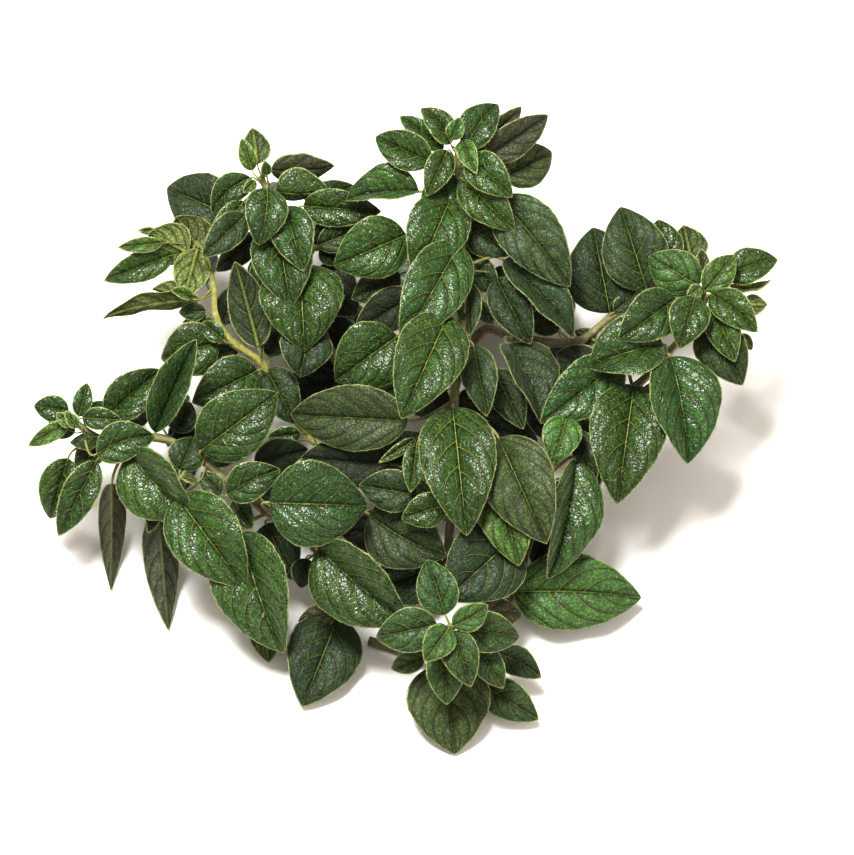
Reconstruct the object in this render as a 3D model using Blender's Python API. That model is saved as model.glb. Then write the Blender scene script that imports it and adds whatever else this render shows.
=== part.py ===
"""A loose bundle of fresh oregano: seven cut sprigs lying together on a flat surface.

Every sprig is one solid: its square stem with all its leaves and leaf stalks grown into it.

Points on the bundle are written as (across, up, height) in millimetres, the way the eye reads them
from the front, looking down at VIEW_ELEVATION: across and up as they are seen, and the height
above the surface that the bundle lies on. seen() turns them into metres, with +X to the right,
+Y away from the front and +Z up.
"""
import math

import bmesh
import bpy
from mathutils import Vector

MM = 0.001
VIEW_ELEVATION = math.radians(60)
TOWARDS_EYE = Vector((0, -math.cos(VIEW_ELEVATION), math.sin(VIEW_ELEVATION)))

# Where the middle of the bundle lies, so that the origin is under it
CENTRE_X = -5.74
CENTRE_Y = -16.3

# Blades and stalks, in mm
BLADE_THICKNESS = 0.64
STALK_WIDTH = 1.0
STALK_THICKNESS = 1.0
LONG_STALK = 9.0
ROOT_START = 0.6
ROOT_SPACING = 0.9
STALK_SAG = 0.1
WIDEST_AT = 0.39
TIP_ROUNDNESS = 0.86
STEM_SIDES = 4
FLAT_SIDE_DOWN = math.radians(45)

# Where a blade has its cross rows, as shares of its length, from blades over that length in mm
BLADE_ROWS = [
    (18, (0.09, 0.33, 0.64, 0.9)),
    (8, (0.12, 0.45, 0.82)),
    (0, (0.2, 0.68)),
]
# A steeply folded rib is no thicker than this share of its blade's thickness allows
LEAST_RIB_COSINE = 0.5
# A stalk that runs this nearly sideways to its blade is turned to face as the blade does
LEAST_STALK_SIDE = 0.3

# Leaves that overlap are bent apart along the line of sight until they are this far apart, in mm
CLEARANCE = 2.3
OWN_CLEARANCE = 1.3
SETTLING_ROUNDS = 400
CELL = 1.6
SAMPLES_PER_CELL = 1.6
FEWEST_SAMPLE_ROWS = 6
FEWEST_SAMPLES_ACROSS = 2
# Near their stem, leaves of one sprig may touch: up to this share of their length
TOUCHING_SHARE = 0.22
# The places on a rib that must stay above the surface
RIB_ABOVE_SURFACE = (0.5, 0.75, 1.0)

# The colour of each kind of leaf: its upper side, or the underside where that is what shows
LOOKS = {
    "green": (0.045, 0.130, 0.030),
    "dark": (0.025, 0.075, 0.022),
    "olive": (0.110, 0.140, 0.035),
    "bright": (0.150, 0.260, 0.045),
    "brownish": (0.140, 0.095, 0.040),
    "underside": (0.240, 0.270, 0.070),
    "pale": (0.400, 0.420, 0.120),
    "wrinkled": (0.090, 0.055, 0.040),
    "deep": (0.018, 0.036, 0.016),
}
ROUGHNESS = 0.5

# Each stem is a list of nodes from the cut end to the tip: across, up, height, thickness.
# Each leaf: stem node, blade base, blade tip, width, roll, arch, sweep, fold, look.
# roll turns the blade about its axis away from the eye, in degrees; 180 shows its underside.
# arch lifts the middle of the rib off the blade, sweep bends the rib sideways, both in mm.
# fold raises both halves towards the upper side, in degrees.
TOP_STEM = [
    (5.0, -36.9, 8.0, 3.0), (6.2, -18.0, 22.0, 2.8), (7.0, 6.9, 33.0, 2.6), (8.8, 25.6, 39.0, 2.4),
    (9.0, 42.4, 43.5, 2.2), (8.0, 56.9, 47.0, 2.0), (7.8, 65.6, 51.0, 1.8), (7.6, 70.0, 54.5, 1.5),
]
TOP_LEAVES = [
    (6, (1.2, 66.2, 53.5), (-12.9, 72.6, 53.0), 11.0, 0, 1.0, 0, 25, "green"),
    (6, (4.0, 69.2, 54.0), (-6.8, 77.9, 55.0), 6.8, 10, 0.8, 0, 25, "green"),
    (7, (6.0, 70.8, 55.0), (-1.5, 79.8, 57.0), 7.4, 10, 0.5, 1, 20, "green"),
    (7, (10.0, 69.8, 55.0), (18.0, 80.8, 57.0), 10.0, -5, 1.0, -1, 15, "green"),
    (6, (12.0, 68.6, 53.0), (24.0, 80.4, 54.0), 6.8, 15, 0.5, 0, 20, "brownish"),
    (6, (14.2, 67.0, 51.0), (30.6, 78.2, 52.0), 9.6, 10, 1.0, 0, 20, "brownish"),
    (5, (19.0, 62.7, 46.0), (31.5, 69.1, 44.0), 12.0, 0, 1.0, 0, 8, "olive"),
    (7, (6.2, 71.9, 57.0), (8.5, 77.4, 60.0), 5.0, 0, 0.3, 0, 20, "bright"),
    (7, (8.8, 71.4, 57.5), (12.5, 63.1, 58.5), 5.5, 0, 0.8, 0, 20, "bright"),
    (7, (5.2, 69.0, 55.5), (0.0, 57.6, 52.5), 7.5, 0, 1.2, 0, 12, "green"),
    (7, (6.6, 63.2, 52.7), (-1.2, 52.1, 49.0), 9.0, 0, 1.2, 0, 12, "green"),
    (7, (10.8, 67.4, 54.5), (21.4, 57.4, 53.0), 10.0, 0, 1.5, 0, 12, "green"),
    (6, (9.0, 62.0, 51.5), (22.0, 48.9, 48.0), 11.0, 0, 1.5, 0, 12, "green"),
    (5, (-2.0, 58.9, 49.5), (-20.4, 56.7, 46.0), 14.5, 38, 1.0, 0.3, 38, "green"),
    (4, (-5.2, 48.0, 44.5), (-23.2, 40.2, 41.0), 16.0, 0, 2.0, 0, 10, "green"),
    (6, (6.2, 57.6, 49.5), (-2.8, 36.6, 46.0), 16.0, 0, 2.5, 0, 10, "green"),
    (5, (8.0, 45.5, 45.5), (-6.4, 20.6, 41.0), 16.5, -5, 2.5, 0, 12, "green"),
    (3, (-7.4, 22.6, 40.0), (-22.8, 11.4, 33.0), 17.5, 0, 2.0, 0, 10, "green"),
    (3, (5.2, 27.5, 43.5), (-6.2, 2.1, 40.0), 18.5, 0, 3.0, 0, 14, "green"),
    (4, (10.8, 44.4, 43.0), (16.4, 53.4, 43.0), 9.5, 0, 0.5, 0, 8, "dark"),
    (5, (18.2, 57.0, 46.0), (35.8, 35.0, 38.0), 15.8, 0, 2.0, -0.6, 8, "olive"),
    (4, (19.4, 41.6, 40.0), (36.9, 22.2, 33.0), 14.0, -30, 1.0, -0.6, 32, "dark"),
    (4, (17.5, 37.0, 38.0), (26.0, 20.6, 33.0), 10.5, 0, 1.0, 0, 10, "dark"),
    (4, (10.2, 36.0, 41.0), (10.8, 22.6, 38.0), 7.0, 0, 0.8, 0, 10, "dark"),
    (4, (-6.8, 38.1, 37.0), (-18.8, 31.9, 33.0), 9.0, 0, 1.0, 0, 8, "olive"),
    (4, (13.0, 31.0, 35.0), (16.5, 25.5, 32.0), 4.5, 0, 0.5, 0, 10, "dark"),
    (3, (11.8, 20.0, 37.0), (15.0, 2.6, 34.0), 9.5, 0, 1.0, 0, 12, "dark"),
    (3, (17.0, 14.0, 31.0), (24.2, -0.6, 29.0), 9.5, 0, 1.0, 0, 10, "dark"),
    (2, (-4.8, 1.4, 35.0), (-34.2, 3.1, 27.0), 17.0, 0, 2.5, 0, 10, "olive"),
    (2, (6.5, 4.6, 37.0), (10.0, -26.9, 31.0), 20.0, 0, 3.0, 0, 14, "green"),
    (2, (18.0, -3.0, 33.0), (29.8, -29.0, 26.0), 19.0, 0, 2.5, 0, 10, "olive"),
    (2, (17.5, -13.0, 27.0), (23.0, -34.6, 21.5), 14.5, 0, 2.0, 0, 10, "bright"),
    (2, (-2.5, -4.9, 33.5), (-4.0, -16.4, 31.0), 6.0, 0, 0.8, 0, 12, "green"),
    (2, (-2.8, -3.1, 31.0), (-12.0, -9.1, 29.5), 3.2, 0, 0.5, 0, 12, "green"),
    (1, (-2.5, -17.0, 28.0), (-16.8, -14.6, 27.5), 11.0, 0, 1.0, 0, 8, "dark"),
    (1, (4.5, -19.4, 29.0), (-6.2, -23.0, 28.0), 9.0, 0, 0.8, 0, 8, "green"),
    (0, (4.0, -34.0, 12.0), (-13.5, -41.0, 6.0), 16.0, 0, 1.0, 0, 8, "dark"),
    (1, (5.0, -12.0, 20.0), (-16.0, -6.0, 15.0), 17.0, 0, 1.5, 0, 8, "dark"),
    (5, (7.0, 54.0, 42.0), (0.0, 43.0, 26.0), 13.0, 0, 1.0, 0, 8, "dark"),
    (5, (9.5, 46.0, 40.0), (11.5, 31.0, 30.0), 11.0, 0, 1.0, 0, 8, "dark"),
    (1, (-9.0, -9.5, 24.0), (-31.5, -7.8, 21.0), 13.5, 0, 1.0, 0, 8, "deep"),
    (1, (-3.0, -27.0, 16.0), (-22.5, -25.6, 13.0), 12.0, 0, 1.0, 0, 8, "deep"),
    (1, (2.0, -24.5, 15.0), (-8.5, -32.0, 11.5), 11.0, 0, 1.0, 0, 8, "deep"),
    (5, (10.5, 50.2, 43.0), (21.6, 43.2, 40.8), 10.5, 0, 0.8, 0, 8, "dark"),
    (4, (11.0, 41.5, 39.0), (17.4, 33.2, 36.0), 8.0, 0, 0.8, 0, 8, "dark"),
    (4, (17.0, 39.5, 34.0), (27.2, 29.0, 32.0), 7.5, 0, 0.8, 0, 8, "deep"),
    (2, (8.5, 8.5, 27.0), (17.0, 2.5, 22.0), 9.0, 0, 0.8, 0, 8, "deep"),
    (2, (5.0, 9.0, 27.0), (-3.0, 3.0, 23.0), 9.0, 0, 0.8, 0, 8, "deep"),
    (3, (-3.0, 33.0, 35.0), (-18.0, 24.0, 29.0), 11.0, 0, 1.0, 0, 8, "deep"),
    (2, (11.5, 1.0, 24.0), (28.0, -3.5, 18.0), 10.5, 0, 1.0, 0, 8, "deep"),
    (5, (10.0, 58.5, 41.0), (14.0, 65.0, 23.5), 12.0, 0, 1.0, 0, 8, "dark"),
    (4, (4.5, 47.0, 36.0), (-1.0, 57.0, 17.0), 12.0, 0, 1.0, 0, 8, "dark"),
    (3, (4.0, 30.5, 31.0), (-6.0, 43.0, 9.0), 13.0, 0, 1.0, 0, 8, "green"),
]

UPPER_LEFT_STEM = [
    (-6.8, -13.0, 9.0, 2.8), (-19.2, 9.4, 18.0, 2.6), (-27.2, 26.9, 25.0, 2.4), (-31.8, 41.4, 31.5, 2.2),
    (-35.5, 51.9, 36.0, 2.0), (-39.8, 58.9, 40.0, 1.8), (-41.2, 62.0, 42.0, 1.6), (-41.0, 64.2, 44.5, 1.4),
]
UPPER_LEFT_LEAVES = [
    (6, (-42.5, 66.0, 43.0), (-43.8, 75.0, 46.5), 7.6, 170, 0.5, 0, 10, "underside"),
    (6, (-43.8, 64.4, 44.0), (-46.5, 72.4, 48.0), 4.6, 0, 0.5, 0, 15, "bright"),
    (7, (-43.0, 61.5, 45.0), (-46.0, 58.6, 44.5), 3.0, 0, 0.3, 0, 10, "bright"),
    (6, (-44.2, 62.4, 45.0), (-53.8, 53.4, 40.0), 8.0, 0, 2.0, 1.5, 10, "green"),
    (5, (-37.8, 59.0, 42.5), (-24.8, 59.5, 41.0), 13.0, 38, 1.0, 0, -38, "green"),
    (5, (-39.0, 64.4, 40.0), (-23.2, 65.4, 39.0), 9.0, 30, 1.0, 0, -20, "brownish"),
    (7, (-40.0, 63.2, 45.5), (-40.5, 66.8, 48.0), 3.0, 0, 0.2, 0, 20, "green"),
    (5, (-40.0, 59.6, 45.5), (-42.2, 45.4, 41.0), 11.0, 0, 2.0, -0.8, 8, "green"),
    (5, (-49.5, 53.0, 36.0), (-65.4, 60.2, 34.0), 15.6, 0, 1.5, 0, 8, "dark"),
    (5, (-46.0, 56.4, 42.0), (-54.5, 44.4, 37.5), 7.0, 0, 1.2, 0, 12, "green"),
    (4, (-45.5, 53.0, 40.5), (-56.2, 42.4, 38.5), 8.5, 0, 1.2, 0, 10, "dark"),
    (4, (-35.5, 55.0, 43.0), (-30.8, 38.9, 40.0), 11.5, 0, 1.5, 0, 12, "green"),
    (4, (-37.5, 50.6, 40.0), (-34.0, 29.9, 36.0), 16.0, 0, 2.0, 0, 10, "green"),
    (3, (-31.8, 40.5, 36.5), (-30.5, 18.9, 32.5), 21.5, 0, 2.5, 0, 8, "green"),
    (2, (-29.4, 24.2, 29.5), (-31.6, 12.4, 27.5), 13.6, 0, 1.0, 0, 8, "dark"),
    (4, (-30.8, 55.4, 39.0), (-11.5, 53.9, 40.0), 10.0, 0, 1.0, 0, 14, "green"),
    (5, (-30.5, 55.6, 37.5), (-18.2, 60.6, 37.0), 8.0, 0, 0.8, 0, 8, "dark"),
    (3, (-27.2, 45.4, 36.0), (-13.0, 51.4, 37.0), 8.0, 0, 0.8, 0, 10, "dark"),
    (3, (-27.5, 45.6, 35.0), (-25.2, 51.6, 38.0), 5.5, 0, 0.3, 0, 8, "dark"),
    (3, (-26.8, 44.6, 34.0), (-20.5, 41.4, 32.0), 6.0, 0, 0.5, 0, 8, "dark"),
    (3, (-41.0, 42.0, 31.0), (-44.4, 36.2, 28.0), 5.0, 0, 0.5, 0, 8, "dark"),
    (4, (-42.5, 48.0, 33.0), (-53.0, 39.0, 28.0), 7.0, 0, 0.8, 0, 8, "dark"),
    (2, (-29.0, 27.0, 20.0), (-31.0, 34.0, 0.2), 15.0, 0, 1.0, 0, 8, "dark"),
    (1, (-20.0, 14.0, 19.0), (-17.0, 31.0, 13.0), 15.0, 0, 1.0, 0, 8, "dark"),
    (1, (-14.0, 7.0, 16.5), (-1.0, 12.5, 14.0), 13.0, 0, 1.0, 0, 8, "dark"),
    (2, (-26.5, 25.5, 21.0), (-16.5, 16.5, 17.0), 12.0, 0, 0.8, 0, 8, "deep"),
    (1, (-21.0, 11.8, 16.0), (-36.0, 9.5, 13.0), 13.0, 0, 0.8, 0, 8, "deep"),
    (3, (-28.0, 39.5, 29.0), (-17.5, 28.0, 24.0), 13.0, 0, 0.8, 0, 8, "deep"),
    (4, (-38.5, 54.0, 29.0), (-42.0, 60.0, 13.5), 12.0, 0, 1.0, 0, 8, "dark"),
    (3, (-30.0, 44.5, 26.0), (-23.0, 57.0, 7.0), 13.0, 0, 1.0, 0, 8, "green"),
]

PALE_STEM = [
    (-26.8, -5.6, 6.0, 2.4), (-38.0, 8.0, 15.0, 2.2), (-41.2, 15.6, 20.5, 2.1), (-48.8, 21.1, 25.0, 2.0),
    (-52.8, 27.4, 28.0, 1.9), (-53.5, 35.6, 31.0, 1.8), (-55.5, 42.4, 33.0, 1.6), (-58.0, 46.5, 34.5, 1.4),
]
PALE_LEAVES = [
    (6, (-56.5, 43.5, 34.5), (-62.8, 52.8, 40.0), 12.0, 175, 1.0, 0, 14, "underside"),
    (7, (-60.0, 43.5, 35.5), (-69.8, 48.6, 38.0), 11.5, 170, 1.0, 0, 12, "pale"),
    (7, (-66.5, 46.0, 35.5), (-77.5, 44.9, 35.0), 4.4, 0, 0.5, 0, 20, "bright"),
    (7, (-68.0, 49.0, 36.0), (-72.5, 49.2, 36.0), 2.2, 0, 0.2, 0, 15, "bright"),
    (6, (-63.8, 43.2, 32.5), (-81.0, 36.6, 29.0), 8.2, 0, 1.5, 0, 15, "green"),
    (7, (-57.5, 44.5, 36.5), (-60.8, 32.2, 32.0), 9.5, 180, 1.0, 0, 10, "pale"),
    (5, (-57.2, 32.0, 30.0), (-81.2, 27.7, 26.5), 8.5, 125, 0.8, 0, 12, "underside"),
    (5, (-59.4, 31.6, 31.2), (-68.8, 34.6, 32.0), 7.0, 150, 1.2, 0, 38, "underside"),
    (5, (-58.8, 32.0, 32.5), (-64.0, 34.2, 33.5), 4.5, 20, 0.5, 0, 40, "bright"),
    (4, (-55.5, 28.9, 28.0), (-62.2, 28.7, 27.0), 5.0, 0, 0.5, 0, 8, "dark"),
    (4, (-53.5, 25.8, 26.0), (-61.2, 26.2, 25.0), 4.5, 0, 0.5, 0, 8, "green"),
    (3, (-52.5, 21.2, 25.5), (-66.6, 17.0, 22.5), 14.0, 0, 1.2, 0, 10, "green"),
    (3, (-51.0, 21.7, 27.0), (-56.2, 26.3, 27.5), 5.0, 0, 0.4, 0, 12, "green"),
    (2, (-42.2, 20.0, 23.0), (-48.0, 41.4, 35.5), 10.5, 175, 1.0, 0, 6, "olive"),
    (2, (-41.5, 20.4, 20.0), (-43.8, 40.8, 31.0), 7.0, 0, 1.0, 0, 8, "dark"),
    (2, (-41.0, 20.6, 21.5), (-40.6, 29.2, 25.0), 3.0, 0, 0.5, 0, 8, "green"),
    (3, (-47.5, 19.0, 21.5), (-56.2, 17.5, 19.5), 5.0, 0, 0.5, 0, 8, "dark"),
    (2, (-42.5, 14.0, 23.5), (-58.6, 6.0, 23.0), 13.5, 0, 1.5, 0, 8, "green"),
    (3, (-40.2, 14.4, 19.5), (-32.8, 0.6, 16.0), 11.0, 0, 1.0, 0, 8, "dark"),
    (0, (-31.8, -1.9, 21.0), (-40.0, -2.8, 20.0), 5.0, 0, 0.5, 0, 8, "green"),
    (0, (-33.0, -4.0, 17.0), (-39.8, -7.0, 16.0), 4.5, 0, 0.5, 0, 8, "dark"),
    (3, (-48.0, 26.0, 21.0), (-46.5, 36.0, 0.2), 8.5, 0, 1.0, 0, 8, "dark"),
    (4, (-51.5, 25.5, 25.0), (-47.0, 36.5, 26.0), 7.0, 0, 0.6, 0, 8, "deep"),
    (2, (-39.5, 17.5, 18.5), (-36.0, 27.5, 14.0), 8.5, 0, 0.8, 0, 8, "dark"),
    (5, (-55.5, 36.0, 25.0), (-59.5, 45.0, 8.0), 11.0, 0, 1.0, 0, 8, "dark"),
]

LEFT_STEM = [
    (-20.5, -40.6, 4.0, 2.8), (-27.2, -30.6, 14.0, 2.6), (-40.2, -21.0, 22.0, 2.4), (-48.8, -14.4, 25.5, 2.3),
    (-58.0, -6.9, 27.5, 2.2), (-67.2, -2.8, 28.5, 2.0), (-79.2, -3.6, 28.0, 1.8), (-86.8, 0.3, 28.5, 1.6),
    (-88.8, 3.0, 31.0, 1.4),
]
LEFT_LEAVES = [
    (8, (-89.5, 3.9, 30.0), (-98.2, 5.2, 29.0), 7.0, 0, 0.6, 0, 10, "green"),
    (8, (-86.8, 2.6, 31.0), (-84.8, 10.9, 33.5), 5.2, 0, 0.5, 0, 15, "green"),
    (8, (-85.6, 2.2, 32.0), (-76.2, 1.7, 32.0), 6.0, 0, 0.8, 0, 12, "green"),
    (8, (-89.6, 0.8, 30.5), (-99.5, -4.9, 27.0), 4.8, 0, 0.8, 0, 15, "bright"),
    (8, (-88.6, 0.2, 32.5), (-92.4, 3.4, 33.5), 3.5, 0, 0.3, 0, 15, "bright"),
    (8, (-87.0, -0.2, 33.0), (-90.2, 3.8, 35.0), 3.5, 0, 0.2, 0, 20, "bright"),
    (6, (-82.2, -2.6, 28.0), (-89.0, -4.0, 27.0), 7.0, 30, 1.0, 0, -45, "underside"),
    (7, (-82.2, -6.8, 31.0), (-67.8, -2.4, 32.0), 10.5, 0, 1.0, -1.3, 14, "green"),
    (6, (-74.0, -6.6, 29.5), (-58.2, -22.9, 24.0), 19.5, 26, 1.5, 0, 26, "green"),
    (4, (-62.0, -17.6, 26.5), (-45.0, -40.0, 19.0), 19.0, 4, 2.0, 0, 15, "green"),
    (2, (-46.0, -26.5, 23.0), (-35.8, -56.4, 11.0), 22.0, 20, 2.5, 0, 24, "green"),
    (1, (-41.0, -44.0, 8.0), (-39.4, -59.0, 3.0), 9.0, 180, 1.0, 0, 8, "underside"),
    (5, (-67.8, -1.4, 29.0), (-57.6, 21.9, 38.0), 15.0, -8, 1.5, 0, 52, "green"),
    (6, (-79.8, 2.3, 30.0), (-66.0, 14.2, 35.0), 12.5, 0, 1.0, -0.5, 30, "green"),
    (6, (-89.6, -8.0, 25.0), (-94.2, -23.1, 15.0), 11.5, 0, 1.2, 0, 25, "green"),
    (6, (-82.6, -8.8, 25.0), (-92.0, -27.4, 14.0), 9.6, 0, 1.2, 0, 20, "green"),
    (6, (-78.6, -14.5, 21.5), (-79.0, -40.6, 0.2), 13.0, 180, 1.0, 0, 58, "wrinkled"),
    (4, (-66.9, -21.0, 20.5), (-64.6, -50.6, 0.2), 13.0, 175, 1.0, 0, 46, "wrinkled"),
    (4, (-66.5, -18.0, 21.0), (-69.5, -26.6, 18.0), 4.5, 0, 0.3, 0, 10, "dark"),
    (5, (-63.0, -1.2, 26.5), (-59.0, 6.0, 28.5), 8.0, 0, 0.8, 0, 8, "dark"),
    (3, (-61.5, -10.8, 27.5), (-58.0, -2.6, 29.0), 9.5, 0, 0.8, 0, 8, "dark"),
    (4, (-56.2, -5.9, 32.0), (-37.2, 8.4, 39.0), 17.0, 0, 2.0, 0, 8, "green"),
    (3, (-49.5, -17.0, 32.0), (-36.4, -10.8, 35.0), 10.0, 0, 1.0, -0.8, 10, "green"),
    (3, (-48.0, -18.6, 24.0), (-43.6, -25.8, 23.0), 6.0, 0, 0.5, 0, 8, "green"),
    (3, (-51.5, -16.9, 25.0), (-56.2, -11.4, 26.0), 6.0, 0, 0.5, 0, 8, "olive"),
    (4, (-57.5, -13.6, 27.0), (-61.6, -12.6, 28.0), 3.0, 40, 0.3, 0, 0, "pale"),
    (2, (-39.0, -18.9, 33.5), (-14.6, -19.7, 31.0), 22.0, 0, 2.5, 0, 8, "green"),
    (1, (-26.8, -30.4, 25.0), (-4.4, -48.6, 20.0), 22.0, 24, 1.5, 0, 25, "green"),
    (1, (-14.2, -22.0, 23.0), (4.8, -32.4, 20.5), 17.5, 0, 1.5, 1, 8, "olive"),
    (0, (-22.1, -47.6, 6.0), (-30.9, -69.6, 2.0), 18.8, 0, 1.0, 0, 6, "dark"),
    (0, (-23.0, -46.5, 10.0), (-32.0, -48.6, 7.0), 7.0, 0, 1.2, 0, -25, "brownish"),
    (1, (-30.2, -33.0, 14.0), (-31.4, -40.4, 10.0), 6.5, 0, 0.5, 0, 8, "deep"),
    (2, (-36.0, -18.0, 17.0), (-18.0, -12.0, 12.0), 16.0, 0, 1.0, 0, 8, "dark"),
    (4, (-55.0, -10.0, 20.0), (-48.0, 4.0, 16.0), 13.0, 0, 1.0, 0, 8, "dark"),
    (2, (-40.2, -24.5, 15.5), (-33.2, -38.2, 11.5), 12.0, 0, 1.0, 0, 8, "dark"),
    (2, (-43.5, -13.0, 17.0), (-31.0, -17.5, 14.0), 10.0, 0, 0.8, 0, 8, "deep"),
    (3, (-43.0, -9.0, 22.0), (-29.5, -5.8, 17.0), 9.5, 0, 0.8, 0, 8, "deep"),
    (6, (-80.5, -3.5, 25.0), (-88.0, -9.8, 22.0), 7.5, 0, 0.6, 0, 8, "dark"),
    (7, (-85.5, 0.5, 26.0), (-79.0, 6.0, 25.0), 6.5, 0, 0.5, 0, 8, "dark"),
    (5, (-64.0, -4.5, 24.0), (-56.5, 2.0, 23.0), 7.5, 0, 0.6, 0, 8, "deep"),
    (5, (-75.5, 0.5, 22.0), (-69.5, 5.5, 21.0), 6.5, 0, 0.6, 0, 8, "dark"),
    (8, (-88.0, -1.5, 27.0), (-94.5, 1.5, 26.0), 6.0, 0, 0.6, 0, 8, "dark"),
    (6, (-79.0, 1.5, 21.0), (-74.0, 8.5, 4.0), 10.0, 0, 1.0, 0, 8, "dark"),
    (5, (-66.0, 1.5, 21.0), (-62.5, 11.0, 4.0), 9.0, 0, 1.0, 0, 8, "green"),
    (4, (-60.5, -16.0, 20.0), (-64.0, -9.0, 4.0), 11.0, 0, 1.0, 0, 8, "dark"),
]

RIGHT_STEM = [
    (19.5, -46.1, 4.5, 2.8), (23.2, -36.9, 9.0, 2.7), (31.2, -10.6, 19.0, 2.5), (38.2, -0.6, 24.5, 2.4),
    (52.2, 9.9, 30.5, 2.2), (60.2, 18.1, 33.5, 2.0), (68.2, 27.4, 36.5, 1.8), (69.2, 31.9, 39.0, 1.6),
    (69.6, 34.6, 41.5, 1.4),
]
RIGHT_LEAVES = [
    (4, (48.5, 16.0, 34.0), (28.5, 0.9, 32.0), 14.5, 0, 1.5, 0, 10, "green"),
    (5, (59.0, 20.4, 36.0), (40.4, 14.8, 35.5), 19.0, 26, 1.5, 0, 26, "green"),
    (6, (62.2, 31.9, 39.0), (48.0, 21.6, 38.5), 13.0, 0, 1.5, 0, 12, "green"),
    (7, (67.0, 32.2, 42.0), (63.2, 19.6, 39.5), 10.5, 0, 1.5, 0, 8, "green"),
    (8, (68.0, 35.2, 41.5), (55.6, 42.6, 43.0), 12.0, 0, 2.2, 0, -8, "bright"),
    (8, (69.8, 33.9, 42.0), (77.0, 43.0, 44.5), 8.0, 0, 1.0, 0, 12, "bright"),
    (7, (75.5, 37.2, 39.0), (88.0, 41.9, 39.0), 9.5, -15, 1.0, -0.8, 10, "green"),
    (7, (75.8, 35.4, 38.0), (86.2, 36.4, 37.5), 5.0, 120, 0.8, 0, 10, "pale"),
    (7, (71.2, 33.0, 42.0), (82.6, 23.6, 40.0), 9.0, 0, 1.5, -0.8, 12, "green"),
    (6, (79.5, 30.6, 35.5), (85.3, 30.6, 35.0), 5.6, 170, 0.5, 0, 5, "underside"),
    (6, (78.8, 23.1, 33.5), (81.4, 19.2, 32.0), 3.4, 170, 0.3, 0, 5, "underside"),
    (7, (72.0, 30.0, 39.5), (77.0, 16.2, 35.5), 9.0, 0, 1.2, 0, 10, "green"),
    (6, (69.0, 24.4, 35.0), (79.0, 10.4, 30.0), 13.0, 0, 1.5, -1, 10, "dark"),
    (5, (60.9, 17.4, 36.5), (65.3, -9.2, 27.0), 21.0, -20, 2.0, 0, 25, "green"),
    (4, (51.8, 10.4, 34.0), (47.5, -19.1, 27.0), 20.0, 0, 2.5, 0, 15, "green"),
    (8, (68.6, 34.9, 43.0), (65.0, 32.4, 43.0), 3.6, 0, 0.3, 0, 10, "pale"),
    (2, (37.0, -8.6, 28.0), (30.5, -38.1, 17.0), 18.0, -32, 1.5, 0, 34, "green"),
    (3, (35.0, 2.4, 32.0), (31.6, -9.4, 29.5), 10.0, 0, 1.2, 0, 8, "bright"),
    (3, (38.2, -1.1, 27.0), (41.8, -15.4, 22.0), 6.5, 0, 1.0, 0, 10, "dark"),
    (4, (40.5, 4.0, 26.0), (42.8, -16.4, 21.0), 7.0, 0, 1.0, 0, 15, "green"),
    (1, (21.8, -41.3, 10.0), (53.8, -42.8, 5.0), 19.8, 0, 1.5, -0.8, 6, "bright"),
    (2, (32.0, -14.0, 17.0), (14.0, -22.0, 12.0), 16.0, 0, 1.0, 0, 8, "dark"),
    (3, (40.0, 4.0, 21.0), (22.0, 4.0, 15.0), 14.0, 0, 1.0, 0, 8, "dark"),
    (2, (21.5, -28.0, 20.5), (4.8, -43.0, 18.5), 20.5, 0, 2.0, 0, 8, "dark"),
    (4, (44.5, 13.5, 25.0), (32.5, 18.5, 21.0), 9.5, 0, 0.8, 0, 8, "deep"),
    (3, (35.0, -2.5, 21.0), (25.0, 7.0, 18.0), 10.0, 0, 0.8, 0, 8, "deep"),
    (2, (30.5, -22.0, 12.0), (26.5, -34.5, 8.0), 8.0, 0, 0.8, 0, 8, "deep"),
    (2, (33.5, -13.5, 16.0), (35.5, -29.5, 10.0), 9.0, 0, 0.8, 0, 8, "deep"),
    (5, (60.0, 12.0, 26.0), (58.0, 0.0, 8.0), 13.0, 0, 1.0, 0, 8, "dark"),
    (6, (71.0, 22.0, 27.0), (76.0, 14.5, 10.0), 9.5, 0, 1.0, 0, 8, "dark"),
    (4, (47.5, 4.0, 23.0), (44.0, -8.0, 5.0), 12.0, 0, 1.0, 0, 8, "green"),
]

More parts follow.
